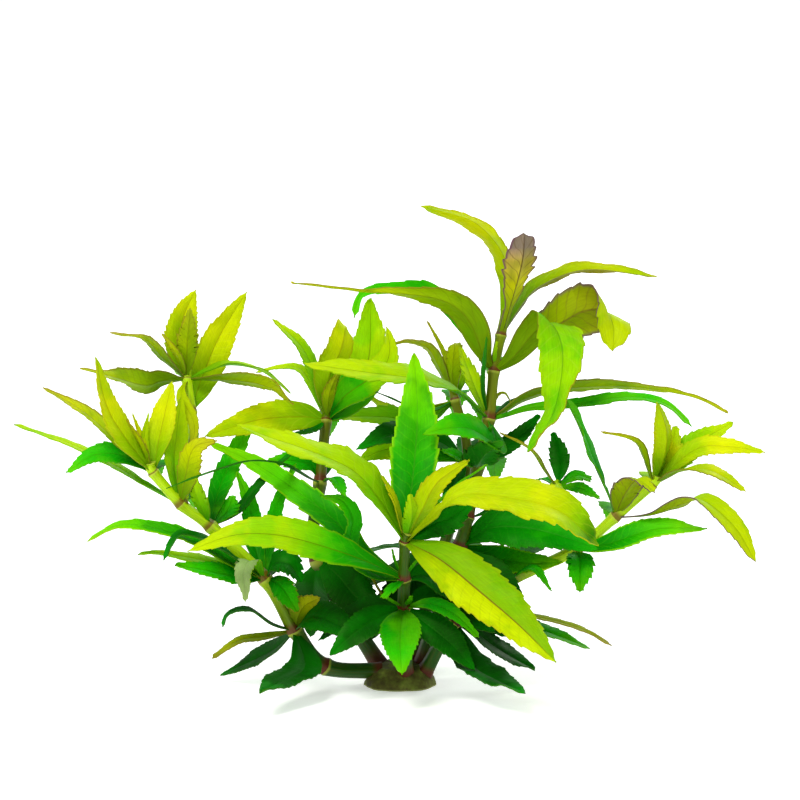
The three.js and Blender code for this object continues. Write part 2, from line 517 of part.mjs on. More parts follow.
function addPiece(name, solid, finish) {
  const piece = new THREE.Mesh(geometryOf(solid), new THREE.MeshStandardMaterial(COLOURS[finish]));
  piece.name = name;
  plant.add(piece);
}

addPiece("crown", crownSolid(0), "crown");
const crownClearance = crownSolid(GAP);
for (const name of Object.keys(STEMS)) {
  let solid = stemSolid(name);
  for (const [joint, width, rolls, points] of SMALL_LEAVES) {
    if (jointStem[joint] === name) solid = solid.add(leafSolid(joint, width, rolls, points, true));
  }
  addPiece(`stem_${name}`, aboveCut(solid.subtract(crownClearance)), "stem");
}
for (const [name, [joint, finish, width, rolls, points]] of Object.entries(LEAVES)) {
  addPiece(`leaf_${name}`, aboveCut(leafSolid(joint, width, rolls, points, false)), finish);
}

export default plant;
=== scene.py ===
"""Pogostemon pumilus, a bushy aquarium stem plant cut off flat under its rooted crown.

Each pattern of leaf blade, and one length of stem, is shaped once and copied. A copy is bent
along its own curve, and a leaf then gets its thickness. Sizes are in millimetres and are used
times MM, because the scene is in metres.
"""
import math

import bmesh
import bpy
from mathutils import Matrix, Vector
from mathutils.geometry import interpolate_bezier


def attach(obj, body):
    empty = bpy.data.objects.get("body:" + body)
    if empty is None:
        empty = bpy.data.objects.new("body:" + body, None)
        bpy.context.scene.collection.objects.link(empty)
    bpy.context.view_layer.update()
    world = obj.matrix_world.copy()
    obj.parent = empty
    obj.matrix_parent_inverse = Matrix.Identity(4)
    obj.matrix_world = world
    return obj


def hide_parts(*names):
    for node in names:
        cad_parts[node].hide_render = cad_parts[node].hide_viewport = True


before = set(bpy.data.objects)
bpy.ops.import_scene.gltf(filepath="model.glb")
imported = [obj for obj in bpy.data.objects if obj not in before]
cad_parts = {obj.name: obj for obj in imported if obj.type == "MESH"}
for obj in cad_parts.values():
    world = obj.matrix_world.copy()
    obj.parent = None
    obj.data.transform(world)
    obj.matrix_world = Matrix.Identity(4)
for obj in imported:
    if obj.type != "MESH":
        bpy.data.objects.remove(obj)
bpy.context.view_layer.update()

MM = 0.001

# The plant is laid out as it is seen from the front: across to the right, up and deep, in
# millimetres from a point VIEW_HEIGHT above the cut, by an eye that looks down a little.
VIEW_HEIGHT = 58
VIEW_DISTANCE = 1000
VIEW_TILT = math.radians(8)
PIXELS_PER_MM = 5
FRAME_PIXELS = 800
SENSOR_MM = 36

STEM_FOOT_RADIUS = 1.55
BRANCH_FOOT_RADIUS = 1.2
STEM_TIP_RADIUS = 0.95
LEAF_THICKNESS = 0.26
CROWN_RADIUS = 7.1
CROWN_HEIGHT = 5.2
KNOB_HEIGHT = 1.6

# How far from the middle line of its stem a leaf's blade begins, and how far its root does.
BLADE_BEGINS = 1.25 * STEM_TIP_RADIUS
ROOT_BEGINS = 0.1 * BLADE_BEGINS

# The usual form of a blade, the lift of its sides and the waviness of its margin as shares of
# its width, and the share of its width that the thickness of a small leaf stays under.
WIDEST_BEFORE_MIDDLE = 0.82
BLADE_FULLNESS = 0.85
FOLD = 0.2
WAVE_SHARE = 0.26
THICKNESS_SHARE = 0.12

# Leaves longer than this are smoothed. Points of a leaf or a stem that are closer than these
# are merged, and only edges over these angles stay sharp.
SMOOTHED_OVER = 17
LEAF_MERGE = 0.012
STEM_MERGE = 0.02
LEAF_SHARP_OVER = math.radians(50)
STEM_SHARP_OVER = math.radians(60)
CROWN_SHARP_OVER = math.radians(50)

# Each stem: the points of its foot, as x, y, z, then its joints, as across, up, deep. A branch
# has no foot, and begins at a joint that another stem has already.
BRANCHES_OFF = None
STEMS = {
    "front": ([(1, -4, 3)], {
        "front_low": (0.8, -41.4, -8),
        "front_mid": (0.8, -35.8, -11),
        "front_top": (1, -28.2, -15),
        "front_end": (1.6, -26.5, -16),
    }),
    "tall": ([(4, 2, 3)], {
        "tall_base": (12, -29, 2),
        "tall_low": (13.4, -23.6, 3),
        "tall_mid": (15.6, -13.2, 4.5),
        "tall_fork": (17.8, -3.8, 6),
        "tall_upper": (18.8, 5.8, 7),
        "tall_top": (20.2, 13, 7.5),
        "tall_end": (21.2, 18, 8),
    }),
    "left": ([(-4, -1, 3), (-15, -4, 4.6)], {
        "left_base": (-21, -46, 0),
        "left_low": (-27, -35.8, -2),
        "left_mid": (-38, -25.2, -4),
        "left_upper": (-43.8, -20.8, -5),
        "left_top": (-49.4, -14.4, -7),
        "left_end": (-50, -12.6, -7.5),
    }),
    "left_branch": ([], {
        "left_upper": BRANCHES_OFF,
        "left_branch_bend": (-42.6, -15, -1),
        "left_branch_low": (-41.4, -9, 3),
        "left_branch_mid": (-41.8, -2.4, 5),
        "left_branch_top": (-42.6, 4.2, 7),
        "left_branch_end": (-42.6, 6, 7.3),
    }),
    "middle": ([(-4, 4, 3)], {
        "middle_base": (-16.6, -32, 7),
        "middle_low": (-16, -16.4, 11),
        "middle_top": (-14.8, -4, 14),
        "middle_end": (-15, -1.6, 14.5),
    }),
    "back": ([(2, 5, 3)], {
        "back_base": (8, -32, 14),
        "back_low": (13.4, -12.4, 18),
        "back_top": (11, 0, 20),
        "back_end": (10.4, 3, 20.5),
    }),
    "right": ([(5, -1.5, 3)], {
        "right_base": (11, -44.4, 0),
        "right_low": (21, -36.6, 1.5),
        "right_mid": (35, -30, 2),
        "right_upper": (43, -23.4, 0),
        "right_top": (50.6, -16.8, -2),
        "right_end": (51.6, -15.2, -2.5),
    }),
    "right_branch": ([], {
        "right_mid": BRANCHES_OFF,
        "right_branch_low": (33.8, -21, 5),
        "right_branch_top": (31.4, -17.4, 8),
        "right_branch_end": (31, -16.6, 8.5),
    }),
}

# Grown leaves: the joint that each grows from, its finish, its full width, its rolls about its
# own length in degrees, evenly spread from joint to tip, and the points that it runs through.
LEAVES = {
    "front_low_forward": ("front_low", "bright", 7.6, [0],
                          [(0.2, -44.4, -14), (0, -49, -20), (0.4, -54.8, -24)]),
    "front_low_left": ("front_low", "deep", 6, [-45], [(-6, -41.6, -4), (-12, -44.4, -2), (-16.4, -48, -1)]),
    "front_low_behind": ("front_low", "deep", 7, [50], [(6, -39.6, -5), (12, -41.6, -5), (19, -46.5, -7)]),
    "front_mid_left": ("front_mid", "green_to_lime", 7.8, [-55],
                       [(-6, -32.4, -15.5), (-14, -29.4, -19), (-24, -26.8, -20), (-33, -26.8, -20),
                        (-42.6, -30.2, -18)]),
    "front_mid_far_left": ("front_mid", "upright", 5, [-50],
                           [(-7.4, -30.8, -7), (-12.4, -24.6, -3), (-20, -18.6, 1), (-29, -12.6, 3),
                            (-38.6, -8.4, 2)]),
    "front_mid_small_left": ("front_mid", "bright", 4.6, [-40],
                             [(-5, -34.6, -11), (-9.8, -30, -12), (-9.2, -24, -13), (-11.6, -20, -15),
                              (-16, -19, -13)]),
    "front_top_down_right": ("front_top", "yellow_half_shaded", 10.5, [35],
                             [(8, -31.6, -21), (16, -38, -26), (24, -45, -30), (31.2, -52.4, -33)]),
    "front_top_right_arch": ("front_top", "gold", 10, [56],
                             [(6, -23.6, -20.5), (12, -18.8, -22.5), (20, -18.8, -24), (31.7, -21.6, -25),
                              (39.8, -29, -23)]),
    "front_top_left_arch": ("front_top", "lime", 9, [-50],
                            [(-3, -20.8, -18.6), (-8.8, -13.9, -20.4), (-17.8, -9.8, -21),
                             (-26, -7.2, -20), (-32.8, -4.8, -18)]),
    "front_top_upright": ("front_top", "upright", 9, [0],
                          [(1.8, -21, -12), (2.8, -12, -9), (3.4, -2, -6), (2.8, 9.4, -3)]),
    "tall_base_right": ("tall_base", "mid_green", 9.4, [50],
                        [(18, -25.4, -1), (26, -25.4, -4), (34, -27.6, -6), (39.6, -29.8, -7)]),
    "tall_base_left": ("tall_base", "deep", 7, [-30], [(6, -31.4, 6), (-1, -34, 8), (-10, -38.4, 8)]),
    "tall_mid_left": ("tall_fork", "bright", 7, [-45],
                      [(19.4, -8.2, 0), (14.6, -5.6, -5), (10, -5.4, -9), (4.6, -6.8, -12)]),
    "tall_mid_right": ("tall_mid", "deep", 4, [30], [(20.4, -9.6, 8), (24, -7, 10), (28, -3, 12)]),
    "tall_fork_left": ("tall_fork", "lime", 8, [0, -20, -42, -55, -60],
                       [(15.4, -1.6, 4), (11.6, 2, 3), (4, 4.6, 1.5), (-6, 5.8, 1), (-19.4, 7.4, 3)]),
    "tall_fork_right_upper": ("tall_fork", "olive_backed", 4.4, [-50],
                              [(21.6, -1.6, 8), (24.4, 0.4, 8.5), (32, 2.6, 9), (46, 3, 9), (58.6, 0.8, 7),
                               (65.6, -2.6, 5)]),
    "tall_fork_right_lower": ("tall_fork", "bright", 3.2, [25],
                              [(21, -3, 6), (26, -1.4, 6), (35, -0.6, 5), (46, 0.8, 4), (53.4, -0.8, 2),
                               (58.4, -5.2, 0)]),
    "tall_upper_left": ("tall_upper", "olive_backed", 6.3, [40, 52, 48, 30, 10, 0],
                        [(17.2, 8, 6), (15.8, 12, 5), (14.4, 15.4, 4), (11.6, 18.6, 3), (7.6, 20.5, 2.4),
                         (3, 21.3, 2), (-2.6, 21.7, 1.4), (-10, 22.2, 0.8), (-21.8, 23.6, 0)]),
    "tall_upper_left_behind": ("tall_upper", "bright", 3.2, [-20],
                               [(14, 13.2, 12), (7, 21.4, 12), (0, 22.4, 10), (-7.4, 21.4, 8),
                                (-9.2, 16.4, 7)]),
    "tall_upper_hanging": ("tall_upper", "hanging", 8.8, [-62, -58, 70, 70],
                           [(22.6, 8.6, 5), (26.8, 13.8, 2), (30.4, 15.8, -2), (32.4, 9.6, -6),
                            (30.4, -2, -8), (25.4, -10.4, -8)]),
    "tall_top_left": ("tall_top", "folded", 6.2, [50],
                      [(21.4, 22, 6), (20.8, 27.8, 4.5), (17.4, 33, 3), (12.8, 36.2, 1.5), (4.2, 38.6, 0)]),
    "tall_top_middle": ("tall_top", "crest", 7.4, [0], [(22.4, 21.2, 4), (24, 28, 1.5), (24.6, 33.4, 0)]),
    "tall_top_right": ("tall_top", "folded", 5.2, [-45],
                       [(23, 18, 8), (27.6, 23.2, 9), (37.4, 26.6, 9), (51.4, 24.8, 7)]),
    "tall_top_drooping": ("tall_upper", "purple_backed", 10.4,
                          [-70, -75, -85, -98, -115, -128, -100, -30, 30],
                          [(22.6, 9, 12), (26, 13, 13), (31.2, 15.2, 11), (36.4, 17.8, 9.5),
                           (40.8, 18.6, 7), (42.8, 15.6, 5), (42.4, 9.8, 3.5)]),
    "left_top_far": ("left_top", "young", 4, [40], [(-56.4, -8, -8), (-62.8, -2.2, -9), (-71.4, 2.6, -9)]),
    "left_top_up": ("left_top", "yellow", 7, [-50], [(-54.2, -8, -10), (-58.4, -1, -11), (-60.8, 8.6, -12)]),
    "left_top_inner": ("left_top", "yellow", 5.4, [0],
                       [(-48.4, -8, -5.6), (-47, -2, -4.4), (-45.6, 3.8, -2.8)]),
    "left_upper_far": ("left_upper", "lime", 3, [-5],
                       [(-50, -17.2, -3), (-58, -12.4, -1), (-67, -8.2, 0), (-77.2, -4.8, 0)]),
    "left_upper_up": ("left_upper", "lime", 5.4, [0],
                      [(-44.9, -13, -5), (-44.4, -6, -2.2), (-43.6, 0.8, -0.2)]),
    "left_low_arch": ("left_low", "upright", 4, [-35],
                      [(-33.6, -32.4, -5), (-40.4, -28.2, -7), (-48, -25.6, -8), (-56, -24.8, -8),
                       (-62.6, -28.2, -8)]),
    "left_branch_left_up": ("left_branch_top", "yellow", 6.8, [-30],
                            [(-43.8, 10, 7), (-43.2, 16.4, 6.6), (-40.8, 22, 7)]),
    "left_branch_right_up": ("left_branch_mid", "yellow", 7, [55],
                             [(-39.6, 4, 8.8), (-35.8, 13, 11.4), (-30.6, 21.6, 12)]),
    "left_branch_right_long": ("left_branch_top", "olive_backed", 6.4, [-35],
                               [(-36.4, 4.4, 4.6), (-30, 4.1, 3), (-25.4, 2.7, 2), (-21.2, -0.8, 1)]),
    "left_branch_left_long": ("left_branch_top", "olive_backed", 6, [30, 60, 40, 20],
                              [(-47.6, 4.2, 5), (-51, 3.4, 4), (-57, 5, 4), (-64, 6.4, 4)]),
    "middle_top_left": ("middle_top", "yellow", 6.6, [-60],
                        [(-19, -3.2, 12), (-27, -3.6, 9), (-33, -5.2, 6.5), (-39, -7.2, 5)]),
    "middle_top_left_up": ("middle_top", "lime", 4, [-30],
                           [(-16.6, 4, 13), (-19.4, 10.6, 12), (-25.4, 16.2, 10)]),
    "middle_top_right_up": ("middle_top", "green_to_lime", 8.6, [40],
                            [(-12, -2.6, 15), (-9, 1.6, 17), (-6.3, 9, 19), (-5.9, 20.4, 20)]),
    "middle_low_left": ("middle_low", "deep", 1.6, [0],
                        [(-18, -15.6, 6), (-22.6, -13, 0), (-27.6, -12, -5), (-32, -12.4, -8),
                         (-41, -15.4, -11), (-46.8, -17.6, -12)]),
    "middle_base_right": ("middle_base", "deep", 8, [45],
                          [(-13, -34.4, 3.5), (-9, -39, 1.5), (-3, -45.6, -0.5)]),
    "back_low_left": ("back_low", "deep", 7.4, [-40], [(8, -8, 14), (-1, -6.4, 11), (-8.8, -9.8, 9)]),
    "right_top_right_up": ("right_top", "lime", 5, [50], [(58, -9.6, 0), (66.6, -4.4, 2)]),
    "right_top_right": ("right_top", "yellow", 4, [50], [(59, -9.8, -4), (65.6, -9.2, -6), (73, -10.4, -7)]),
    "right_top_right_low": ("right_top", "olive_below", 4.2, [-30, 45],
                            [(56.4, -13.8, -5), (62.4, -14, -7), (69.2, -18.2, -8)]),
    "right_upper_left": ("right_upper", "bright", 6.4, [-40],
                         [(42.2, -20, -1), (39.6, -13.6, -1), (36.2, -5, -1), (33.2, 0.4, -1)]),
    "right_upper_long": ("right_upper", "purple_backed", 4.8, [-10, -15, -35, 45, 50, 50],
                         [(50, -22.8, -4), (56, -20.6, -7), (60.6, -19.8, -8), (66.9, -25.1, -9.4),
                          (71.2, -32.3, -10)]),
    "right_mid_right": ("right_mid", "upright", 5.4, [45],
                        [(42, -28.4, -2), (51, -25.6, -4), (61.4, -25.6, -5)]),
    "right_base_far": ("right_base", "young", 3, [5],
                       [(18, -42, 3), (28, -43.4, 2), (36, -45.6, 0), (42.4, -49, -2)]),
    "right_base_near": ("right_base", "bright", 5, [25], [(18, -44.4, 4), (27, -45.4, 4), (38, -49.6, 3)]),
    "ground_front_left": ("left_base", "deep", 7, [0], [(-19, -53, -8), (-24, -56, -18), (-28, -58.5, -28)]),
    "ground_front_right": ("right_base", "deep", 7, [0], [(14, -52, -8), (20, -56, -18), (25, -58.5, -28)]),
    "ground_back": ("back_base", "deep", 7, [0], [(8, -39, 25), (8, -44.4, 33), (7, -49, 43)]),
}

# Young, small and innermost leaves, in the same form, by the joint that they grow from.
SMALL_LEAVES = [
    ("front_low", "bright", 2.8, [45], [(6, -40.6, -12), (11, -42.8, -15), (15.8, -47.4, -17)]),
    ("front_low", "bright", 1.6, [0], [(-1.6, -40.2, -11), (-3.4, -38.8, -13)]),
    ("front_low", "bright", 1.2, [0], [(1.8, -40.2, -11), (2.2, -39.2, -12.5)]),
    ("front_mid", "bright", 1.6, [0], [(-0.8, -32.6, -12), (-1.4, -29.8, -12.5)]),
    ("front_mid", "bright", 1.4, [0], [(2.6, -33, -12.5), (4.2, -31.2, -13)]),
    ("front_mid", "bright", 2.4, [0], [(-1.6, -37.6, -15), (-3.4, -39.6, -17)]),
    ("front_mid", "deep", 7, [45], [(5, -34.8, -9), (11, -37.4, -8), (19.5, -41.5, -8)]),
    ("front_top", "yellow", 4.4, [-40], [(4, -22.4, -18), (7.4, -16.4, -17), (13.8, -12, -15)]),
    ("front_top", "lime", 3, [0], [(2.2, -23, -18.5), (2, -18.8, -20)]),
    ("front_top", "yellow", 3.4, [-45], [(-0.6, -21.4, -17), (-2, -18, -18), (-3.6, -15, -18.6)]),
    ("front_top", "bright", 3.2, [-30], [(5.6, -22.4, -12), (11, -17.2, -8), (17.4, -12.8, -6)]),
    ("front_top", "deep", 6, [50], [(6, -25, -12), (10, -23.6, -11), (14.4, -20.8, -9)]),
    ("tall_fork", "lime", 3.6, [0], [(15.6, 1.6, 8), (12, 10.6, 12)]),
    ("tall_fork", "deep", 1.8, [0], [(16.6, 3, 4.5), (17.4, 12.6, 3)]),
    ("tall_fork", "young", 0.8, [0], [(19.2, 0.6, 9), (21, 1.4, 9.6), (22.4, -1, 9.5)]),
    ("tall_upper", "lime", 0.8, [0], [(19, 9.6, 5.5), (19.4, 11.8, 5)]),
    ("tall_low", "deep", 3, [0], [(17, -22.4, 4), (21, -20, 6), (27, -18.4, 8)]),
    ("tall_base", "upright", 5.6, [50], [(18, -31.2, 2), (25, -32.4, 1), (32.6, -32.4, 0)]),
    ("left_top", "bright", 4.6, [-40], [(-55, -11, -6), (-61, -10.8, -6), (-66.8, -14.4, -7)]),
    ("left_top", "young", 2.2, [0], [(-52, -8, -9.5), (-54.6, -3.8, -11)]),
    ("left_top", "yellow", 1.8, [0], [(-51.4, -8, -7), (-53.4, -2.6, -6.5)]),
    ("left_top", "lime", 1.6, [0], [(-51, -8, -6.4), (-50.2, -2.6, -5.6)]),
    ("left_upper", "young", 4.6, [-60], [(-42.6, -15, -8), (-41, -9.6, -9), (-36.6, -8.2, -9)]),
    ("left_mid", "lime", 3.8, [0], [(-40, -20, -7), (-42, -14, -8.5)]),
    ("left_mid", "bright", 4.2, [10], [(-36.2, -17.8, 3), (-33, -10.6, 8), (-28.8, -2, 12)]),
    ("left_mid", "bright", 5.2, [0], [(-35, -22.4, 0), (-33.4, -19, 3)]),
    ("left_mid", "deep", 2.6, [0], [(-33, -22.4, 1), (-27.6, -16, 3.5), (-21.6, -10.4, 4)]),
    ("left_low", "deep", 4.2, [-25],
     [(-35, -30, -9), (-40, -27.4, -10), (-44.6, -27, -11), (-47.4, -32, -13)]),
    ("left_low", "lime", 4, [-15],
     [(-34, -33.2, -3), (-42, -31.4, -3), (-49, -30.4, -3), (-52.4, -30.8, -4)]),
    ("left_low", "bright", 4.6, [-40], [(-33, -35, -6), (-39, -33.8, -8), (-45, -33, -9)]),
    ("left_low", "pale", 4, [0], [(-30, -32, -8), (-31.4, -34.6, -11), (-31, -38, -12), (-31, -40.4, -12)]),
    ("left_low", "bright", 4, [0], [(-29.2, -28, 2), (-30, -21, 4), (-32.6, -14.2, 4)]),
    ("left_low", "bright", 2.8, [0], [(-26, -28, 3), (-24.2, -20, 5), (-20.8, -12.6, 6)]),
    ("left_low", "deep", 4.6, [0], [(-31, -32.6, -1), (-35.6, -28.8, 1)]),
    ("left_low", "deep", 6.2, [40], [(-25.2, -32.4, -4), (-22, -32.6, -5), (-19.6, -36.4, -4)]),
    ("left_low", "olive_backed", 4.2, [45], [(-24, -37, -5), (-20.4, -42.4, -6)]),
    ("left_base", "deep", 2.8, [-10],
     [(-25.4, -44.8, -2), (-30, -41.8, -4), (-34.4, -42.6, -5), (-35.6, -45.4, -5)]),
    ("left_base", "young", 4.4, [-40], [(-19.4, -41.4, -4), (-16, -39.4, -5)]),
    ("left_base", "young", 3, [-20], [(-27, -47.2, 1), (-32.4, -48, 0), (-37.6, -51.6, -2)]),
    ("left_base", "deep", 7, [45], [(-18, -43, -6), (-13, -44.4, -10), (-7.6, -48, -13)]),
    ("left_branch_top", "young", 3.8, [0], [(-42.6, 11, 4), (-42, 18.4, 2)]),
    ("left_branch_top", "young", 3.4, [20], [(-47, 8.4, 5), (-51, 12.4, 3), (-58, 13.6, 1)]),
    ("left_branch_top", "young", 1.8, [0], [(-44.4, 9, 3.5), (-47.6, 13.4, 1)]),
    ("left_branch_top", "lime", 3.8, [15],
     [(-38.4, 6.2, 5.8), (-33.6, 7.4, 8.5), (-27.4, 6, 11), (-21.8, 1.4, 12.5)]),
    ("left_branch_top", "young", 2.4, [20], [(-43.8, 1, 2), (-41.2, -5, 0), (-42, -10.6, -1)]),
    ("left_branch_low", "bright", 4, [0], [(-42, -7, 9), (-44, -5.6, 15), (-47, -7, 21)]),
    ("middle_top", "yellow", 6.4, [0],
     [(-14.4, 5, 12), (-12.2, 10, 10.5), (-11.2, 14.2, 11), (-10.8, 13.6, 17)]),
    ("middle_top", "young", 2.4, [0], [(-14.2, 1.6, 11), (-12.4, 5.6, 9)]),
    ("middle_top", "lime", 2, [-10], [(-17.6, 3, 16), (-20, 6.4, 17), (-24, 6.8, 18), (-28.8, 5.6, 19)]),
    ("middle_low", "bright", 3, [0], [(-13, -15.6, 8), (-11, -19.4, 5)]),
    ("middle_low", "deep", 5, [0], [(-15, -12, 18), (-14, -9, 25), (-13, -12, 32)]),
    ("middle_low", "bright", 3.6, [-30], [(-17.6, -13, 11), (-22, -12, 9.5), (-26.6, -12, 8.5)]),
    ("middle_base", "young", 3, [-40], [(-11, -32.6, 5), (-6.4, -34.4, 2), (-3.2, -39.6, 1)]),
    ("middle_base", "deep", 5, [0], [(-20, -30, 14), (-28, -33, 22)]),
    ("back_top", "young", 3.4, [30], [(8.6, 5.6, 19), (6, 10.4, 18), (2, 11.8, 17), (-2, 11, 16)]),
    ("back_top", "young", 3.2, [0], [(10.6, 5, 18), (11, 10.6, 17), (11, 10.8, 22)]),
    ("back_top", "young", 1.2, [0], [(9.2, 8.4, 21), (5.4, 16, 22)]),
    ("back_top", "lime", 2, [0], [(12.4, 4.4, 22), (14, 7.6, 24)]),
    ("back_top", "lime", 5, [55], [(5, -3.6, 20), (-3, -3, 19), (-9, -3, 19.5), (-14.6, -3.6, 20)]),
    ("back_top", "deep", 1.6, [0], [(5, -2, 16), (-5, 1.8, 14)]),
    ("back_top", "yellow", 5, [40], [(3, -3.6, 22), (-2.4, -1.6, 22), (-6, 0.6, 22)]),
    ("back_low", "green_to_lime", 7.4, [-55], [(7, -9.6, 17), (-2, -9.6, 15), (-8, -12, 13)]),
    ("back_low", "deep", 4, [0], [(11, -15.6, 15), (8.6, -20, 13)]),
    ("back_low", "deep", 5.5, [0], [(14, -9, 26), (14.4, -8, 33), (14, -13, 40)]),
    ("back_base", "deep", 6, [0], [(10, -29, 22), (14, -29, 30), (18, -35, 38)]),
    ("back_base", "deep", 6, [0], [(2, -29, 20), (-6, -30, 26), (-14, -36, 30)]),
    ("right_top", "young", 2.4, [20], [(49.2, -11.6, -3), (47.2, -8, -4), (40.2, -6.2, -5)]),
    ("right_top", "yellow", 6.2, [0], [(52.4, -11, -4), (52.8, -6, -5), (51.2, -0.4, -6)]),
    ("right_top", "yellow", 4.8, [45], [(53.8, -10, -1), (55.4, -5.2, 0)]),
    ("right_upper", "purple_backed", 5.6, [-50, 30], [(45, -18.2, -4), (47.4, -15.6, -7), (51, -18.4, -9)]),
    ("right_mid", "bright", 5, [0], [(36, -32, -3), (36, -38.4, -6)]),
    ("right_low", "bright", 2, [30], [(26.4, -33.4, -4), (30.4, -38.2, -5)]),
    ("right_low", "deep", 5, [0], [(24, -31, 8), (29, -28, 14), (33, -27, 20)]),
    ("right_branch_top", "young", 2.4, [10], [(28.8, -13.6, 7), (26, -9.6, 5), (20, -6.4, 3)]),
    ("right_branch_top", "deep", 3.8, [0], [(32, -12.4, 9), (30.6, -6.4, 11)]),
    ("right_branch_top", "bright", 2.8, [30], [(35, -15, 8), (38.4, -15.8, 8)]),
    ("right_branch_top", "bright", 2.4, [40], [(35.6, -17.4, 5), (40, -19.6, 3)]),
    ("right_branch_top", "bright", 2, [0], [(29, -15.6, 11), (26.2, -16.2, 13)]),
    ("front_low", "deep", 6, [-45], [(-4.4, -43.4, -11), (-9, -46.4, -14), (-14, -51, -15)]),
    ("front_low", "deep", 6, [45], [(5, -44.4, -10), (10, -48.4, -12), (15, -54, -13)]),
    ("tall_base", "deep", 7, [40], [(15, -33, -1), (19.4, -36, -3), (25, -42, -5)]),
    ("back_base", "deep", 8, [45], [(12, -37, 11), (16, -41.4, 9), (21.6, -47.4, 8)]),
    ("back_base", "deep", 7, [-40], [(3, -36, 11), (-2, -41, 10), (-6, -48, 8)]),
    ("middle_base", "deep", 8, [0], [(-17.4, -36, 6), (-17.6, -41, 9), (-18, -47.4, 12)]),
    ("right_base", "deep", 7, [40], [(15, -46, 3), (20, -49.6, 5), (27, -54, 6)]),
    ("left_base", "deep", 6, [-40], [(-25, -49.4, 4), (-30, -52, 8), (-36, -55, 10)]),
    ("tall_mid", "bright", 5, [0], [(17.4, -12, 11), (18.8, -12, 18), (19, -16.4, 26)]),
    ("tall_mid", "deep", 6.5, [0], [(15.4, -12.6, 0), (17.4, -10, -3), (20.8, -8.8, -5)]),
    ("tall_mid", "bright", 4, [-40], [(12, -11.4, 0), (8.4, -10, -2)]),
    ("tall_fork", "bright", 6, [0], [(17.6, -2, 14), (17.4, -1.4, 22), (17, -6, 31)]),
    ("tall_fork", "deep", 3.4, [-30], [(21, -0.8, 12), (24.4, 1, 14.5), (29.4, 2.6, 15)]),
    ("tall_upper", "bright", 5, [0], [(18.6, 7.4, 15), (18.4, 8.6, 22), (18, 5, 30)]),
    ("left_upper", "bright", 5, [0], [(-43, -18.8, 2), (-42, -17.8, 10), (-41, -21.4, 18)]),
    ("left_low", "deep", 6, [0], [(-27, -33.4, 6), (-29, -31, 13), (-31, -33, 20)]),
    ("left_top", "bright", 4, [0], [(-49, -12.8, 0), (-48.4, -12, 7), (-48, -15, 13)]),
    ("left_branch_top", "lime", 5, [0], [(-42.4, 5.4, 14), (-42, 5.8, 21), (-41.6, 2, 28)]),
    ("middle_top", "bright", 6, [0], [(-14.8, -2.8, 21), (-14.4, -2.6, 28), (-14, -7, 35)]),
    ("middle_top", "green_to_lime", 6.6, [60], [(-11, 1, 13), (-4, 6, 10), (-2.2, 10, 9), (-2.8, 14.6, 8)]),
    ("middle_top", "deep", 2.4, [0], [(-17.6, -6, 10), (-22, -6.8, 8)]),
    ("right_upper", "bright", 5, [0], [(42.6, -21.2, 7), (42.4, -20.6, 14), (42, -25, 21)]),
    ("right_top", "lime", 4, [0], [(50.2, -15, 4), (50, -14.4, 10), (50, -17.6, 16)]),
    ("back_top", "bright", 5, [0], [(11, 1.4, 27), (11.2, 1.6, 34), (11, -3.4, 41)]),
]


def place(seen):
    """A point seen at across, up and deep, in metres."""
    across, up, deep = seen
    spread = 1 + deep / VIEW_DISTANCE
    rise = up * spread
    return MM * Vector((
        across * spread,
        deep * math.cos(VIEW_TILT) + rise * math.sin(VIEW_TILT),
        VIEW_HEIGHT + rise * math.cos(VIEW_TILT) - deep * math.sin(VIEW_TILT),
    ))


# Where each joint is, and which stem it is on.
joint_points = {}
joint_stem = {}
for stem_name, (_, stem_joints) in STEMS.items():
    for joint_name, seen_at in stem_joints.items():
        if seen_at is not BRANCHES_OFF:
            joint_points[joint_name] = place(seen_at)
            joint_stem[joint_name] = stem_name


# Work at the bench: selecting, copying, joining and bending

# How many straight steps a path takes from one of its points to the next.
PATH_STEPS = 14


def only(obj):
    """Selects one object alone, and makes it the active one."""
    bpy.ops.object.select_all(action="DESELECT")
    obj.select_set(True)
    bpy.context.view_layer.objects.active = obj


def pick(obj, wanted):
    """In edit mode, selects the vertices whose numbers are in wanted, and no others."""
    mesh = bmesh.from_edit_mesh(obj.data)
    for vertex in mesh.verts:
        vertex.select = vertex.index in wanted
    mesh.select_flush_mode()
    bmesh.update_edit_mesh(obj.data)


def copy_of(pattern, name):
    """A copy with a mesh of its own."""
    obj = pattern.copy()
    obj.data = pattern.data.copy()
    obj.name = name
    obj.data.name = name
    bpy.context.collection.objects.link(obj)
    return obj


def join(pieces):
    """Joins pieces into the first of them."""
    only(pieces[0])
    for piece in pieces:
        piece.select_set(True)
    bpy.ops.object.join()
    return pieces[0]


def bend_along(obj, path):
    """Adds the modifier that bends a piece, which runs along X, along a path."""
    bend = obj.modifiers.new("bend", "CURVE")
    bend.object = path
    bend.deform_axis = "POS_X"


def apply_modifiers(obj):
    """Applies a piece's modifiers, first to last."""
    only(obj)
    for modifier in list(obj.modifiers):
        bpy.ops.object.modifier_apply(modifier=modifier.name)


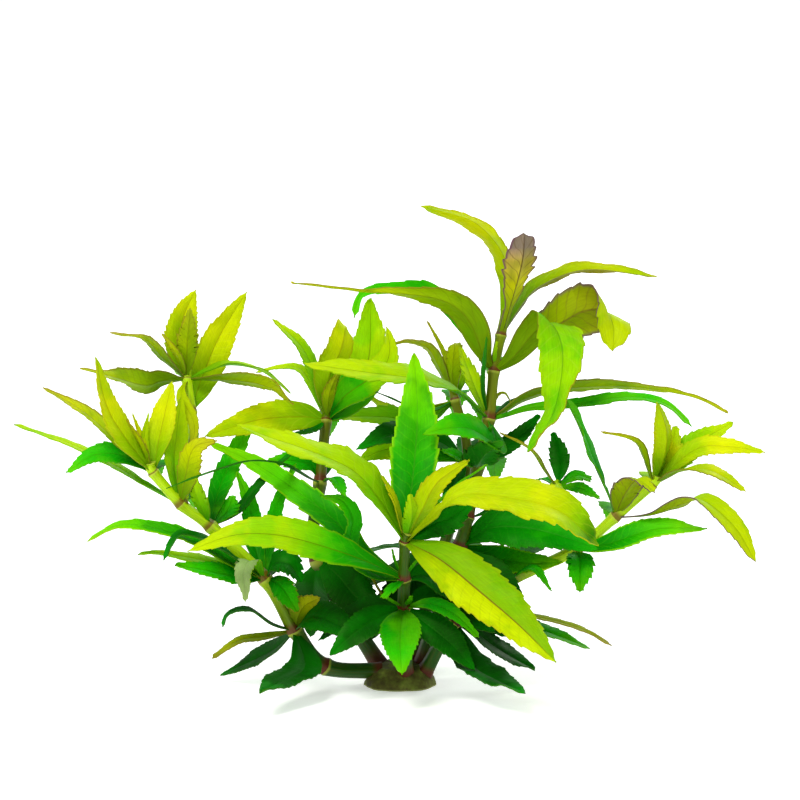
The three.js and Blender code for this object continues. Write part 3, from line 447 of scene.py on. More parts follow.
def smooth_path(name, points, tilts, radii):
    """A curve object that runs smoothly through points, with a tilt and a radius at each."""
    data = bpy.data.curves.new(name, "CURVE")
    data.dimensions = "3D"
    data.twist_mode = "MINIMUM"
    data.resolution_u = PATH_STEPS
    spline = data.splines.new("BEZIER")
    spline.bezier_points.add(len(points) - 1)
    for i, knot in enumerate(spline.bezier_points):
        before = points[i - 1] if i else 2 * points[0] - points[1]
        after = points[i + 1] if i + 1 < len(points) else 2 * points[-1] - points[-2]
        reach = (after - before) / 6
        knot.handle_left_type = knot.handle_right_type = "FREE"
        knot.co = points[i]
        knot.handle_left = points[i] - reach
        knot.handle_right = points[i] + reach
        knot.tilt = tilts[i]
        knot.radius = radii[i]
    path = bpy.data.objects.new(name, data)
    bpy.context.collection.objects.link(path)
    return path


def shares_along(points):
    """How far along each point is, as a share of the way straight from point to point."""
    steps = [(b - a).length for a, b in zip(points, points[1:])]
    return [sum(steps[:i]) / sum(steps) for i in range(len(points))]


def lengths_along(path):
    """How far along a path each of its points is."""
    knots = path.data.splines[0].bezier_points
    reached = [0.0]
    for here, there in zip(knots, knots[1:]):
        steps = interpolate_bezier(here.co, here.handle_right, there.handle_left, there.co, PATH_STEPS + 1)
        reached.append(reached[-1] + sum((b - a).length for a, b in zip(steps, steps[1:])))
    return reached


def drop(obj):
    """Deletes a helper object and its data."""
    data = obj.data
    bpy.data.objects.remove(obj)
    drawer = bpy.data.curves if isinstance(data, bpy.types.Curve) else bpy.data.meshes
    drawer.remove(data)


# Leaf blades

# Where the rows of a blade's vertices lie from one margin to the other, with the rib at 0, and
# the columns from its stalk over its teeth to its tip.
ROW_PLACES = [-1, -0.7, -0.38, -0.1, 0, 0.1, 0.38, 0.7, 1]
STALK_COLUMNS = 6
TIP_COLUMNS = 3
COLUMNS_PER_TOOTH = 4
FIRST_TOOTH_AT = 0.24
LAST_TOOTH_AT = 0.95
NARROWS_TO_TIP_FROM = 0.97

# A tooth rises slowly towards the tip and drops off at its end. It leans forward by a share of
# its length, and the row beside it follows it a little. The last three values make its depth
# differ from its neighbours'.
TOOTH_PHASES = [0, 0.33, 0.66, 0.97]
TOOTH_LEAN = 0.22
TOOTH_FOLLOWED = 0.4
SHALLOWEST_TOOTH = 0.55
TOOTH_RANGE = 0.9
GOLDEN_TURN = 0.618

# The blade's section: each side arches, the rib is a groove, and all of it is lowered, so that
# its path runs through it. The margin's waves fade towards the rib by the last value, a power.
ARCH = 0.035
GROOVE = 0.022
SINK = 0.06
WAVE_FADE = 1.6

# Each blade pattern: its teeth on a side, how deep they are as a share of the half width, and
# the stalk's width as a share of the blade's.
BLADES = {
    "broad": (12, 0.12, 0.13),
    "medium": (10, 0.18, 0.24),
    "narrow": (9, 0.2, 0.4),
    "small": (6, 0.22, 0.28),
    "bud": (3, 0.24, 0.55),
    "toothed": (8, 0.24, 0.2),
    "blunt": (7, 0.34, 0.3),
    "oblong": (12, 0.12, 0.13),
    "late": (12, 0.12, 0.13),
    "early": (11, 0.12, 0.13),
    "fuller": (13, 0.12, 0.13),
    "even": (12, 0.12, 0.13),
    "tapering": (13, 0.14, 0.2),
    "long_tipped": (13, 0.12, 0.13),
}

# The patterns that don't have the usual form, each with what stands for WIDEST_BEFORE_MIDDLE
# and BLADE_FULLNESS in its form, and the leaves that are cut from these patterns.
UNUSUAL_FORMS = {
    "blunt": (2.2, 0.62),
    "oblong": (1.15, 0.62),
    "late": (1.6, 0.75),
    "early": (0.6, 0.7),
    "fuller": (1.2, 0.48),
    "even": (1, 1),
    "tapering": (0.6, 1.5),
    "long_tipped": (0.45, 2.5),
}
UNUSUAL_LEAVES = {
    "tall_top_middle": "blunt",
    "tall_top_left": "oblong",
    "tall_top_right": "early",
    "tall_top_drooping": "late",
    "tall_upper_hanging": "fuller",
    "tall_upper_left": "long_tipped",
    "tall_fork_right_upper": "tapering",
    "left_branch_right_long": "late",
    "right_upper_left": "late",
    "right_upper_long": "late",
    "front_top_right_arch": "late",
    "front_mid_left": "even",
    "middle_top_left": "early",
}

# The other patterns go by the leaf's size.
BUD_LENGTH = 9
SMALL_LENGTH = 17
YOUNG_LENGTH = 26
YOUNG_WIDTH = 3
MEDIUM_WIDTH = 3.3
BROAD_WIDTH = 5.4


def blade_half_width(along, stalk, widest, filling):
    """Half the blade's width at a share of its length. It is widest before the middle where
    widest is under 1, and its ends are fuller the lower filling is."""
    fullness = max(0.0, math.sin(math.pi * along ** widest)) ** filling / 2
    return max(stalk / 2, fullness) if along < NARROWS_TO_TIP_FROM else fullness


def tooth_variety(tooth, side):
    """How deep a tooth is beside the others: no two neighbours are alike."""
    return SHALLOWEST_TOOTH + TOOTH_RANGE * ((GOLDEN_TURN * (tooth + 5 * side)) % 1)


def column_places(teeth):
    """Where each column of vertices lies along the blade, and how far out its edge stands as
    a share of a tooth."""
    places = [(FIRST_TOOTH_AT * i / STALK_COLUMNS, 0.0) for i in range(STALK_COLUMNS)]
    pitch = (LAST_TOOTH_AT - FIRST_TOOTH_AT) / teeth
    for tooth in range(teeth):
        places += [(FIRST_TOOTH_AT + pitch * (tooth + phase), phase) for phase in TOOTH_PHASES]
    tip = 1 - LAST_TOOTH_AT
    return places + [(LAST_TOOTH_AT + tip * (i + 1) / TIP_COLUMNS, 0.0) for i in range(TIP_COLUMNS)]


def map_veins(blade, row_length):
    """Adds a UV map that goes up by one from each tooth's tip to the next, and goes from 0 to 1
    across the blade."""
    veins = blade.data.uv_layers.new(name="veins")
    first_tip = STALK_COLUMNS + COLUMNS_PER_TOOTH - 1
    for loop in blade.data.loops:
        row, column = divmod(loop.vertex_index, row_length)
        teeth_along = (column - first_tip) / COLUMNS_PER_TOOTH
        veins.data[loop.index].uv = (teeth_along, row / (len(ROW_PLACES) - 1))


def weigh_margin(blade, row_length):
    """Says how far the margin's waves move each row, from the first tooth on."""
    margin = blade.vertex_groups.new(name="margin")
    for row, share in enumerate(ROW_PLACES):
        members = [row * row_length + column for column in range(STALK_COLUMNS, row_length - 1)]
        margin.add(members, abs(share) ** WAVE_FADE, "REPLACE")


def arch_section(blade, row_length):
    """In edit mode, moves each row to its place across the blade and to its height."""
    for row, share in enumerate(ROW_PLACES):
        pick(blade, range(row * row_length, (row + 1) * row_length))
        height = FOLD / 2 * abs(share) + ARCH * math.sin(math.pi * abs(share)) - GROOVE * (share == 0) - SINK
        aside = share / 2 - (row / (len(ROW_PLACES) - 1) - 0.5)
        bpy.ops.transform.translate(value=(0, aside, height))


def draw_out_tooth(blade, edge, inner, along, lean, depth):
    """In edit mode, draws the margin's vertex out to a tooth, and its neighbour after it."""
    pick(blade, [edge])
    bpy.ops.transform.translate(value=(lean, 0, 0))
    bpy.ops.transform.resize(value=(1, 1 + depth, 1), center_override=(along, 0, 0))
    pick(blade, [inner])
    followed = 1 + TOOTH_FOLLOWED * depth
    bpy.ops.transform.resize(value=(1, followed, 1), center_override=(along, 0, 0))


def shape_blade(name, teeth, tooth_depth, stalk):
    """A flat toothed blade, one long and one wide, that runs along X with its upper side up."""
    form = UNUSUAL_FORMS.get(name, (WIDEST_BEFORE_MIDDLE, BLADE_FULLNESS))
    places = column_places(teeth)
    columns = len(places) - 1
    rows = len(ROW_PLACES) - 1
    bpy.ops.object.select_all(action="DESELECT")
    bpy.ops.mesh.primitive_grid_add(x_subdivisions=columns, y_subdivisions=rows, size=1, location=(0.5, 0, 0))
    blade = bpy.context.object
    blade.name = f"blade_{name}"
    bpy.ops.object.transform_apply(location=True, rotation=False, scale=False)
    map_veins(blade, columns + 1)
    weigh_margin(blade, columns + 1)
    bpy.ops.object.mode_set(mode="EDIT")
    bpy.ops.mesh.select_mode(type="VERT")
    arch_section(blade, columns + 1)
    for column, (along, phase) in enumerate(places):
        line = [row * (columns + 1) + column for row in range(rows + 1)]
        width = 2 * blade_half_width(along, stalk, *form)
        pick(blade, line)
        bpy.ops.transform.translate(value=(along - column / columns, 0, 0))
        bpy.ops.transform.resize(value=(1, width, width), center_override=(along, 0, 0))
        if phase:
            tooth = (column - STALK_COLUMNS) // COLUMNS_PER_TOOTH
            lean = TOOTH_LEAN * phase ** 2 * (LAST_TOOTH_AT - FIRST_TOOTH_AT) / teeth
            for side, (edge, inner) in enumerate(((line[0], line[1]), (line[-1], line[-2]))):
                depth = tooth_depth * phase * tooth_variety(tooth, side)
                draw_out_tooth(blade, edge, inner, along, lean, depth)
    bpy.ops.object.mode_set(mode="OBJECT")
    return blade


def blade_for(name, finish, width, length):
    """The name of the pattern that suits a leaf of this size, in millimetres."""
    if name in UNUSUAL_LEAVES:
        return UNUSUAL_LEAVES[name]
    if finish == "young" and width > YOUNG_WIDTH and length < YOUNG_LENGTH:
        return "toothed"
    if width >= BROAD_WIDTH and length > SMALL_LENGTH:
        return "broad"
    if length < BUD_LENGTH:
        return "bud"
    if length < SMALL_LENGTH:
        return "small"
    return "medium" if width >= MEDIUM_WIDTH else "narrow"


def roll_at(rolls, share):
    """The roll at a share of the way, in radians, from rolls in degrees that are evenly spread."""
    spot = share * (len(rolls) - 1)
    before = min(int(spot), max(0, len(rolls) - 2))
    after = min(before + 1, len(rolls) - 1)
    return math.radians(rolls[before] + (rolls[after] - rolls[before]) * (spot - before))


def grow_leaf(name, joint, finish, width, rolls, seen_points):
    """Bends a copy of a blade along its own path and gives it its thickness and finish."""
    points = [joint_points[joint]] + [place(seen) for seen in seen_points]
    tilts = [roll_at(rolls, share) for share in shares_along(points)]
    path = smooth_path(f"path_{name}", points, tilts, [1] * len(points))
    bpy.context.view_layer.update()
    length = path.data.splines[0].calc_length()
    begins = BLADE_BEGINS * MM
    leaf = copy_of(patterns[blade_for(name, finish, width, length / MM)], f"blade_of_{name}")
    upper_side, underside = LEAF_FINISHES[finish]
    leaf.data.materials.append(finishes[upper_side])
    leaf.data.materials.append(finishes[underside])
    only(leaf)
    leaf.scale = (length - begins, width * MM, width * MM)
    leaf.location = (begins, 0, 0)
    bpy.ops.object.transform_apply(location=True, rotation=False, scale=True)
    across = len(leaf.data.vertices) // len(ROW_PLACES)
    for row in range(len(ROW_PLACES)):
        leaf.data.vertices[row * across].co.x = ROOT_BEGINS * MM
    bend_along(leaf, path)
    if length > SMOOTHED_OVER * MM:
        finer = leaf.modifiers.new("finer", "SUBSURF")
        finer.levels = finer.render_levels = 1
    wave = leaf.modifiers.new("wave", "DISPLACE")
    wave.texture = waviness
    wave.texture_coords = "LOCAL"
    wave.direction = "NORMAL"
    wave.vertex_group = "margin"
    wave.strength = WAVE_SHARE * width * MM
    thick = leaf.modifiers.new("thickness", "SOLIDIFY")
    thick.thickness = min(LEAF_THICKNESS, THICKNESS_SHARE * width) * MM
    thick.offset = -1
    thick.material_offset = 1
    thick.material_offset_rim = 1
    apply_modifiers(leaf)
    drop(path)
    bpy.ops.object.mode_set(mode="EDIT")
    bpy.ops.mesh.select_all(action="SELECT")
    bpy.ops.mesh.remove_doubles(threshold=LEAF_MERGE * MM)
    bpy.ops.object.mode_set(mode="OBJECT")
    bpy.ops.object.shade_smooth_by_angle(angle=LEAF_SHARP_OVER)
    return leaf


# Stems and the crown

# The rings of the stretch between two joints: where each is and how thick the stem is there.
STEM_SIDES = 16
RING_SIZES = {0: 1.18, 0.02: 1.16, 0.05: 1.1, 0.09: 1.04, 0.15: 1, 0.25: 0.97, 0.4: 0.95, 0.55: 0.95,
              0.7: 0.96, 0.82: 1, 0.9: 1.07, 0.95: 1.15, 0.98: 1.22, 1: 1.18}
RIDGE = 1.1
FURROW = 0.9
QUARTER = math.pi / 2
ANGLE_SLACK = 0.1


def shape_internode():
    """The stretch of stem from one joint to the next, one long and one in radius, along X: four
    ridges with furrows between them, swollen at both joints."""
    bpy.ops.object.select_all(action="DESELECT")
    bpy.ops.mesh.primitive_cylinder_add(vertices=STEM_SIDES, radius=1, depth=1, end_fill_type="NOTHING",
                                        location=(0.5, 0, 0), rotation=(0, QUARTER, 0))
    internode = bpy.context.object
    internode.name = "internode"
    bpy.ops.object.transform_apply(location=True, rotation=True, scale=False)
    bpy.ops.object.mode_set(mode="EDIT")
    for ring in list(RING_SIZES)[1:-1]:
        bpy.ops.mesh.select_all(action="SELECT")
        bpy.ops.mesh.bisect(plane_co=(ring, 0, 0), plane_no=(1, 0, 0))
    bpy.ops.object.mode_set(mode="OBJECT")
    vertices = internode.data.vertices
    turn = {v.index: math.atan2(v.co.z, v.co.y) for v in vertices}
    ring_of = {v.index: min(RING_SIZES, key=lambda ring: abs(ring - v.co.x)) for v in vertices}
    bpy.ops.object.mode_set(mode="EDIT")
    half = QUARTER / 2
    on_ridge = [i for i, a in turn.items() if abs((a + half) % QUARTER - half) < ANGLE_SLACK]
    in_furrow = [i for i, a in turn.items() if abs(a % QUARTER - half) < ANGLE_SLACK]
    pick(internode, on_ridge)
    bpy.ops.transform.resize(value=(1, RIDGE, RIDGE), center_override=(0, 0, 0))
    pick(internode, in_furrow)
    bpy.ops.transform.resize(value=(1, FURROW, FURROW), center_override=(0, 0, 0))
    for ring, size in RING_SIZES.items():
        pick(internode, [i for i, at in ring_of.items() if at == ring])
        bpy.ops.transform.resize(value=(1, size, size), center_override=(ring, 0, 0))
    bpy.ops.object.mode_set(mode="OBJECT")
    wrap_internode(internode.data, turn)
    return internode


def wrap_internode(mesh, turn):
    """Gives an internode its UV map: along it from 0 to 1, and once around it."""
    for face in mesh.polygons:
        corners = [mesh.loops[i].vertex_index for i in face.loop_indices]
        turns = [turn[corner] / (2 * math.pi) for corner in corners]
        for i, corner, around in zip(face.loop_indices, corners, turns):
            if max(turns) - around > 0.5:
                around += 1
            mesh.uv_layers[0].data[i].uv = (mesh.vertices[corner].co.x, around)


def grow_stem(name):
    """Strings internodes together, joint to joint, and bends them along the stem."""
    foot, joints = STEMS[name]
    points = [MM * Vector(point) for point in foot] + [joint_points[joint] for joint in joints]
    foot_radius = STEM_FOOT_RADIUS if foot else BRANCH_FOOT_RADIUS
    radii = [foot_radius + (STEM_TIP_RADIUS - foot_radius) * share for share in shares_along(points)]
    path = smooth_path(f"path_{name}", points, [0] * len(points), radii)
    bpy.context.view_layer.update()
    reached = lengths_along(path)
    pieces = []
    for start, end in zip(reached, reached[1:]):
        piece = copy_of(internode_pattern, f"internode_{name}")
        only(piece)
        piece.scale = (end - start, MM, MM)
        piece.location = (start, 0, 0)
        bpy.ops.object.transform_apply(location=True, rotation=False, scale=True)
        pieces.append(piece)
    stem = join(pieces)
    stem.name = f"stem_{name}_stalk"
    bpy.ops.object.mode_set(mode="EDIT")
    bpy.ops.mesh.select_all(action="SELECT")
    bpy.ops.mesh.remove_doubles(threshold=STEM_MERGE * MM)
    bpy.ops.mesh.fill_holes(sides=0)
    bpy.ops.object.mode_set(mode="OBJECT")
    bend_along(stem, path)
    apply_modifiers(stem)
    drop(path)
    bpy.ops.object.shade_smooth_by_angle(angle=STEM_SHARP_OVER)
    stem.data.materials.clear()
    stem.data.materials.append(finishes["stem"])
    return stem


def shape_crown():
    """The rooted crown: a knobbly dome with its flat cut below."""
    bpy.ops.object.select_all(action="DESELECT")
    bpy.ops.mesh.primitive_uv_sphere_add(segments=40, ring_count=28, radius=CROWN_RADIUS * MM)
    crown = bpy.context.object
    crown.name = "crown_body"
    crown.scale = (1, 1, CROWN_HEIGHT / CROWN_RADIUS)
    bpy.ops.object.transform_apply(location=False, rotation=False, scale=True)
    knobs = crown.modifiers.new("knobs", "DISPLACE")
    knobs.texture = knobbliness
    knobs.strength = KNOB_HEIGHT * MM
    apply_modifiers(crown)
    bpy.ops.object.mode_set(mode="EDIT")
    bpy.ops.mesh.select_all(action="SELECT")
    bpy.ops.mesh.bisect(plane_co=(0, 0, 0), plane_no=(0, 0, 1), use_fill=True, clear_inner=True)
    bpy.ops.object.mode_set(mode="OBJECT")
    bpy.ops.object.shade_smooth_by_angle(angle=CROWN_SHARP_OVER)
    crown.data.materials.clear()
    crown.data.materials.append(finishes["crown"])
    return crown


# Finishes

class Recipe:
    """Builds one node material, a step at a time."""

    def __init__(self, name):
        self.material = bpy.data.materials.new(name)
        self.material.use_nodes = True
        self.tree = self.material.node_tree
        self.tree.nodes.clear()

    def node(self, kind, inputs=None, **settings):
        """A node with its settings, whose inputs are linked from sockets or set to values."""
        made = self.tree.nodes.new(kind)
        for key, value in settings.items():
            setattr(made, key, value)
        for key, value in (inputs or {}).items():
            if isinstance(value, bpy.types.NodeSocket):
                self.tree.links.new(value, made.inputs[key])
            else:
                made.inputs[key].default_value = value
        return made

    def maths(self, operation, first, second=0.0, third=0.0):
        """One sum, on sockets or numbers."""
        step = self.node("ShaderNodeMath", {0: first, 1: second, 2: third}, operation=operation)
        return step.outputs[0]

    def mask(self, value, low, high, start=0.0, end=1.0):
        """From start to end as value goes from low to high, smoothly."""
        limits = {"Value": value, "From Min": low, "From Max": high, "To Min": start, "To Max": end}
        step = self.node("ShaderNodeMapRange", limits, interpolation_type="SMOOTHSTEP")
        return step.outputs[0]

    def blend(self, share, first, second, how="MIX"):
        """The first colour, with a share of the second over it."""
        step = self.node("ShaderNodeMix", data_type="RGBA", blend_type=how)
        for socket, value in ((0, share), (6, first), (7, second)):
            if isinstance(value, bpy.types.NodeSocket):
                self.tree.links.new(value, step.inputs[socket])
            else:
                step.inputs[socket].default_value = value
        return step.outputs[2]

    def shaded(self, colour, share):
        """The colour, darkened to a share of itself."""
        grey = self.node("ShaderNodeCombineColor", {0: share, 1: share, 2: share})
        return self.blend(1.0, colour, grey.outputs[0], "MULTIPLY")

    def ramp(self, value, stops):
        """The colour that the stops give at a value."""
        step = self.node("ShaderNodeValToRGB", {0: value})
        elements = step.color_ramp.elements
        while len(elements) < len(stops):
            elements.new(0.5)
        for element, (position, colour) in zip(elements, stops):
            element.position = position
            element.color = colour
        return step.outputs[0]

    def noise(self, where, scale, detail, roughness):
        """A soft random pattern from 0 to 1."""
        step = self.node("ShaderNodeTexNoise",
                         {"Vector": where, "Scale": scale, "Detail": detail, "Roughness": roughness})
        return step.outputs["Fac"]

    def stretched(self, where, sizes):
        """A place with its three measures multiplied."""
        return self.node("ShaderNodeVectorMath", {0: where, 1: sizes}, operation="MULTIPLY").outputs[0]

    def streaks(self, where, along, across):
        """A pattern that changes slowly along a UV map and fast across it."""
        return self.noise(self.stretched(where, (along, across, 1.0)), scale=1.0, detail=3.0, roughness=0.6)


def srgb(red, green, blue):
    """A colour given as 0 to 255 on screen, as linear light."""
    def linear(value):
        share = value / 255
        return share / 12.92 if share <= 0.04045 else ((share + 0.055) / 1.055) ** 2.4
    return (linear(red), linear(green), linear(blue), 1)


# Each leaf colouring: its colours from stalk to tip, a second colour that it has in patches and
# how strongly, its rib, side veins and margin with how strong each is, and how much light
# comes through. "other_side" is a colour towards one edge of the blade, and where across the
# blade it begins and is whole; on the half-shaded yellow leaf it is painted shade. Colours are
# red, green and blue on screen, from 0 to 255.
YELLOW_UNDERSIDE = dict(
    along=[(0, (110, 176, 0)), (0.25, (186, 218, 0)), (0.6, (220, 232, 0)), (1, (206, 224, 0))],
    patch=((160, 210, 0), 0.4), rib=((160, 140, 10), 0.4), vein=((226, 232, 70), 0.14),
    margin=((170, 130, 30), 0.35), glow=0.42)
COLOURINGS = {
    "yellow": dict(
        along=[(0, (110, 176, 0)), (0.2, (186, 214, 0)), (0.55, (224, 230, 0)), (1, (206, 224, 0))],
        patch=((128, 200, 0), 0.4), rib=((150, 124, 0), 0.45), vein=((232, 236, 60), 0.14),
        margin=((190, 180, 0), 0.3), glow=0.36),
    # The dark green tip of the gold colouring is painted shade.
    "gold": dict(
        along=[(0, (140, 170, 0)), (0.2, (205, 222, 0)), (0.62, (216, 228, 0)),
               (0.84, (150, 206, 0)), (0.96, (10, 122, 0))],
        patch=((180, 220, 0), 0.4), rib=((190, 200, 0), 0.3), vein=((232, 236, 60), 0.12),
        margin=((180, 190, 0), 0.2), glow=0.36),
    # This yellow leaf's greener half, its other_side, is painted shade.
    "yellow_half_shaded": dict(
        along=[(0, (120, 170, 0)), (0.12, (208, 226, 0)), (0.6, (214, 230, 0)), (1, (196, 224, 0))],
        other_side=((104, 176, 0), 0.46, 0.54),
        patch=((118, 186, 0), 0.55), rib=((120, 60, 20), 0.8), vein=((160, 190, 0), 0.2),
        margin=((190, 180, 0), 0.2), glow=0.34),
    "lime": dict(
        along=[(0, (100, 176, 0)), (0.25, (168, 216, 0)), (0.6, (200, 230, 0)), (1, (206, 230, 0))],
        patch=((100, 204, 0), 0.5), rib=((110, 140, 0), 0.45), vein=((196, 226, 60), 0.16),
        margin=((170, 180, 0), 0.25), glow=0.36),
    "hanging": dict(
        along=[(0, (76, 170, 0)), (0.3, (146, 212, 0)), (0.6, (166, 224, 0)), (1, (116, 212, 0))],
        patch=((90, 204, 0), 0.6), rib=((60, 130, 0), 0.5), vein=((190, 226, 60), 0.16),
        margin=((190, 220, 0), 0.4), glow=0.36),
    "green_to_lime": dict(
        along=[(0, (20, 150, 0)), (0.3, (46, 188, 0)), (0.46, (180, 222, 0)), (1, (210, 230, 0))],
        patch=((110, 210, 0), 0.5), rib=((104, 110, 0), 0.6), vein=((120, 204, 30), 0.12),
        margin=((180, 190, 0), 0.3), glow=0.36),
    "upright": dict(
        along=[(0, (0, 130, 0)), (0.3, (30, 176, 0)), (0.62, (96, 216, 0)), (1, (150, 226, 0))],
        patch=((0, 150, 0), 0.6), rib=((60, 140, 0), 0.4), vein=((110, 220, 20), 0.16),
        margin=((160, 226, 0), 0.75), glow=0.34),
    "bright": dict(
        along=[(0, (0, 126, 0)), (0.3, (16, 174, 0)), (0.7, (56, 208, 0)), (1, (110, 216, 0))],
        patch=((110, 208, 0), 0.55), rib=((60, 130, 0), 0.4), vein=((100, 210, 30), 0.14),
        margin=((120, 190, 0), 0.25), glow=0.34),
    "mid_green": dict(
        along=[(0, (0, 120, 0)), (0.4, (0, 140, 0)), (0.8, (0, 156, 0)), (1, (30, 176, 0))],
        patch=((40, 190, 0), 0.6), rib=((20, 120, 0), 0.35), vein=((40, 170, 10), 0.15),
        margin=((60, 150, 0), 0.25), glow=0.26),
    # The deep colouring is dark green partly as the inner leaves' own colour and partly as painted shade
    # inside the clump.
    "deep": dict(
        along=[(0, (0, 124, 0)), (0.3, (0, 96, 0)), (0.7, (0, 90, 0)), (1, (0, 150, 0))],
        patch=((0, 136, 0), 0.6), rib=((20, 120, 0), 0.35), vein=((20, 140, 10), 0.15),
        margin=((40, 120, 0), 0.25), glow=0.22),
    "young": dict(
        along=[(0, (188, 218, 0)), (0.4, (196, 214, 0)), (0.8, (184, 194, 14)), (1, (160, 148, 44))],
        patch=((130, 168, 0), 0.5), rib=((112, 104, 10), 0.45), vein=((150, 150, 10), 0.2),
        margin=((140, 116, 30), 0.3), glow=0.3),
    "crest": dict(
        along=[(0, (140, 180, 0)), (0.45, (222, 218, 10)), (0.7, (214, 188, 76)), (0.88, (170, 126, 152))],
        patch=((118, 132, 0), 0.5), rib=((84, 60, 30), 0.8), vein=((110, 84, 40), 0.45),
        margin=((108, 66, 92), 0.8), glow=0.28),
    "pale": dict(
        along=[(0, (120, 170, 50)), (0.5, (166, 190, 120)), (1, (150, 176, 100))],
        patch=((140, 176, 80), 0.5), rib=((120, 150, 70), 0.3), vein=((180, 200, 140), 0.3),
        margin=((140, 170, 80), 0.3), glow=0.25),
    "under_yellow": YELLOW_UNDERSIDE,
    "under_folded": dict(YELLOW_UNDERSIDE, other_side=((112, 84, 16), 0.5, 0.62)),
    "under_green": dict(
        along=[(0, (70, 170, 0)), (0.3, (130, 206, 0)), (0.6, (170, 220, 0)), (1, (190, 222, 0))],
        patch=((96, 196, 0), 0.5), rib=((110, 150, 10), 0.4), vein=((180, 220, 60), 0.14),
        margin=((150, 160, 10), 0.25), glow=0.42),
    "under_bright": dict(
        along=[(0, (20, 130, 0)), (0.3, (40, 160, 0)), (0.7, (80, 190, 0)), (1, (110, 204, 0))],
        patch=((110, 204, 0), 0.5), rib=((80, 140, 10), 0.4), vein=((120, 200, 40), 0.14),
        margin=((130, 180, 10), 0.25), glow=0.4),
    # This underside is dark partly as its own colour and partly as painted shade inside the clump.
    "under_deep": dict(
        along=[(0, (10, 104, 0)), (0.5, (20, 124, 10)), (1, (50, 140, 10))],
        patch=((10, 96, 10), 0.5), rib=((70, 130, 30), 0.4), vein=((60, 136, 30), 0.3),
        margin=((70, 90, 20), 0.3), glow=0.22),
    "under_olive": dict(
        along=[(0, (112, 154, 0)), (0.3, (160, 192, 0)), (0.6, (204, 216, 0)), (1, (210, 206, 30))],
        patch=((96, 156, 0), 0.5), rib=((110, 110, 10), 0.4), vein=((110, 124, 10), 0.25),
        margin=((130, 84, 40), 0.5), glow=0.36),
    "under_purple": dict(
        along=[(0, (116, 150, 0)), (0.4, (162, 180, 0)), (0.7, (164, 162, 20)), (1, (140, 114, 90))],
        patch=((134, 160, 0), 0.5), rib=((112, 72, 40), 0.5), vein=((120, 104, 30), 0.4),
        margin=((112, 66, 100), 0.8), glow=0.34),
}

# Each leaf finish: the colouring of its upper side and of its underside.
LEAF_FINISHES = {
    "yellow": ("yellow", "under_yellow"),
    "gold": ("gold", "under_yellow"),
    "yellow_half_shaded": ("yellow_half_shaded", "under_yellow"),
    "folded": ("yellow", "under_folded"),
    "lime": ("lime", "under_green"),
    "green_to_lime": ("green_to_lime", "under_green"),
    "hanging": ("hanging", "under_olive"),
    "olive_below": ("yellow", "under_olive"),
    "upright": ("upright", "under_green"),
    "bright": ("bright", "under_bright"),
    "mid_green": ("mid_green", "under_deep"),
    "deep": ("deep", "under_deep"),
    "pale": ("pale", "under_green"),
    "young": ("young", "under_olive"),
    "crest": ("crest", "crest"),
    "olive_backed": ("bright", "under_olive"),
    "purple_backed": ("lime", "under_purple"),
}

# How steeply the side veins run, and how strongly a leaf takes the colour of its other side.
VEIN_SLOPE = 1.6
OTHER_SIDE_STRENGTH = 0.75


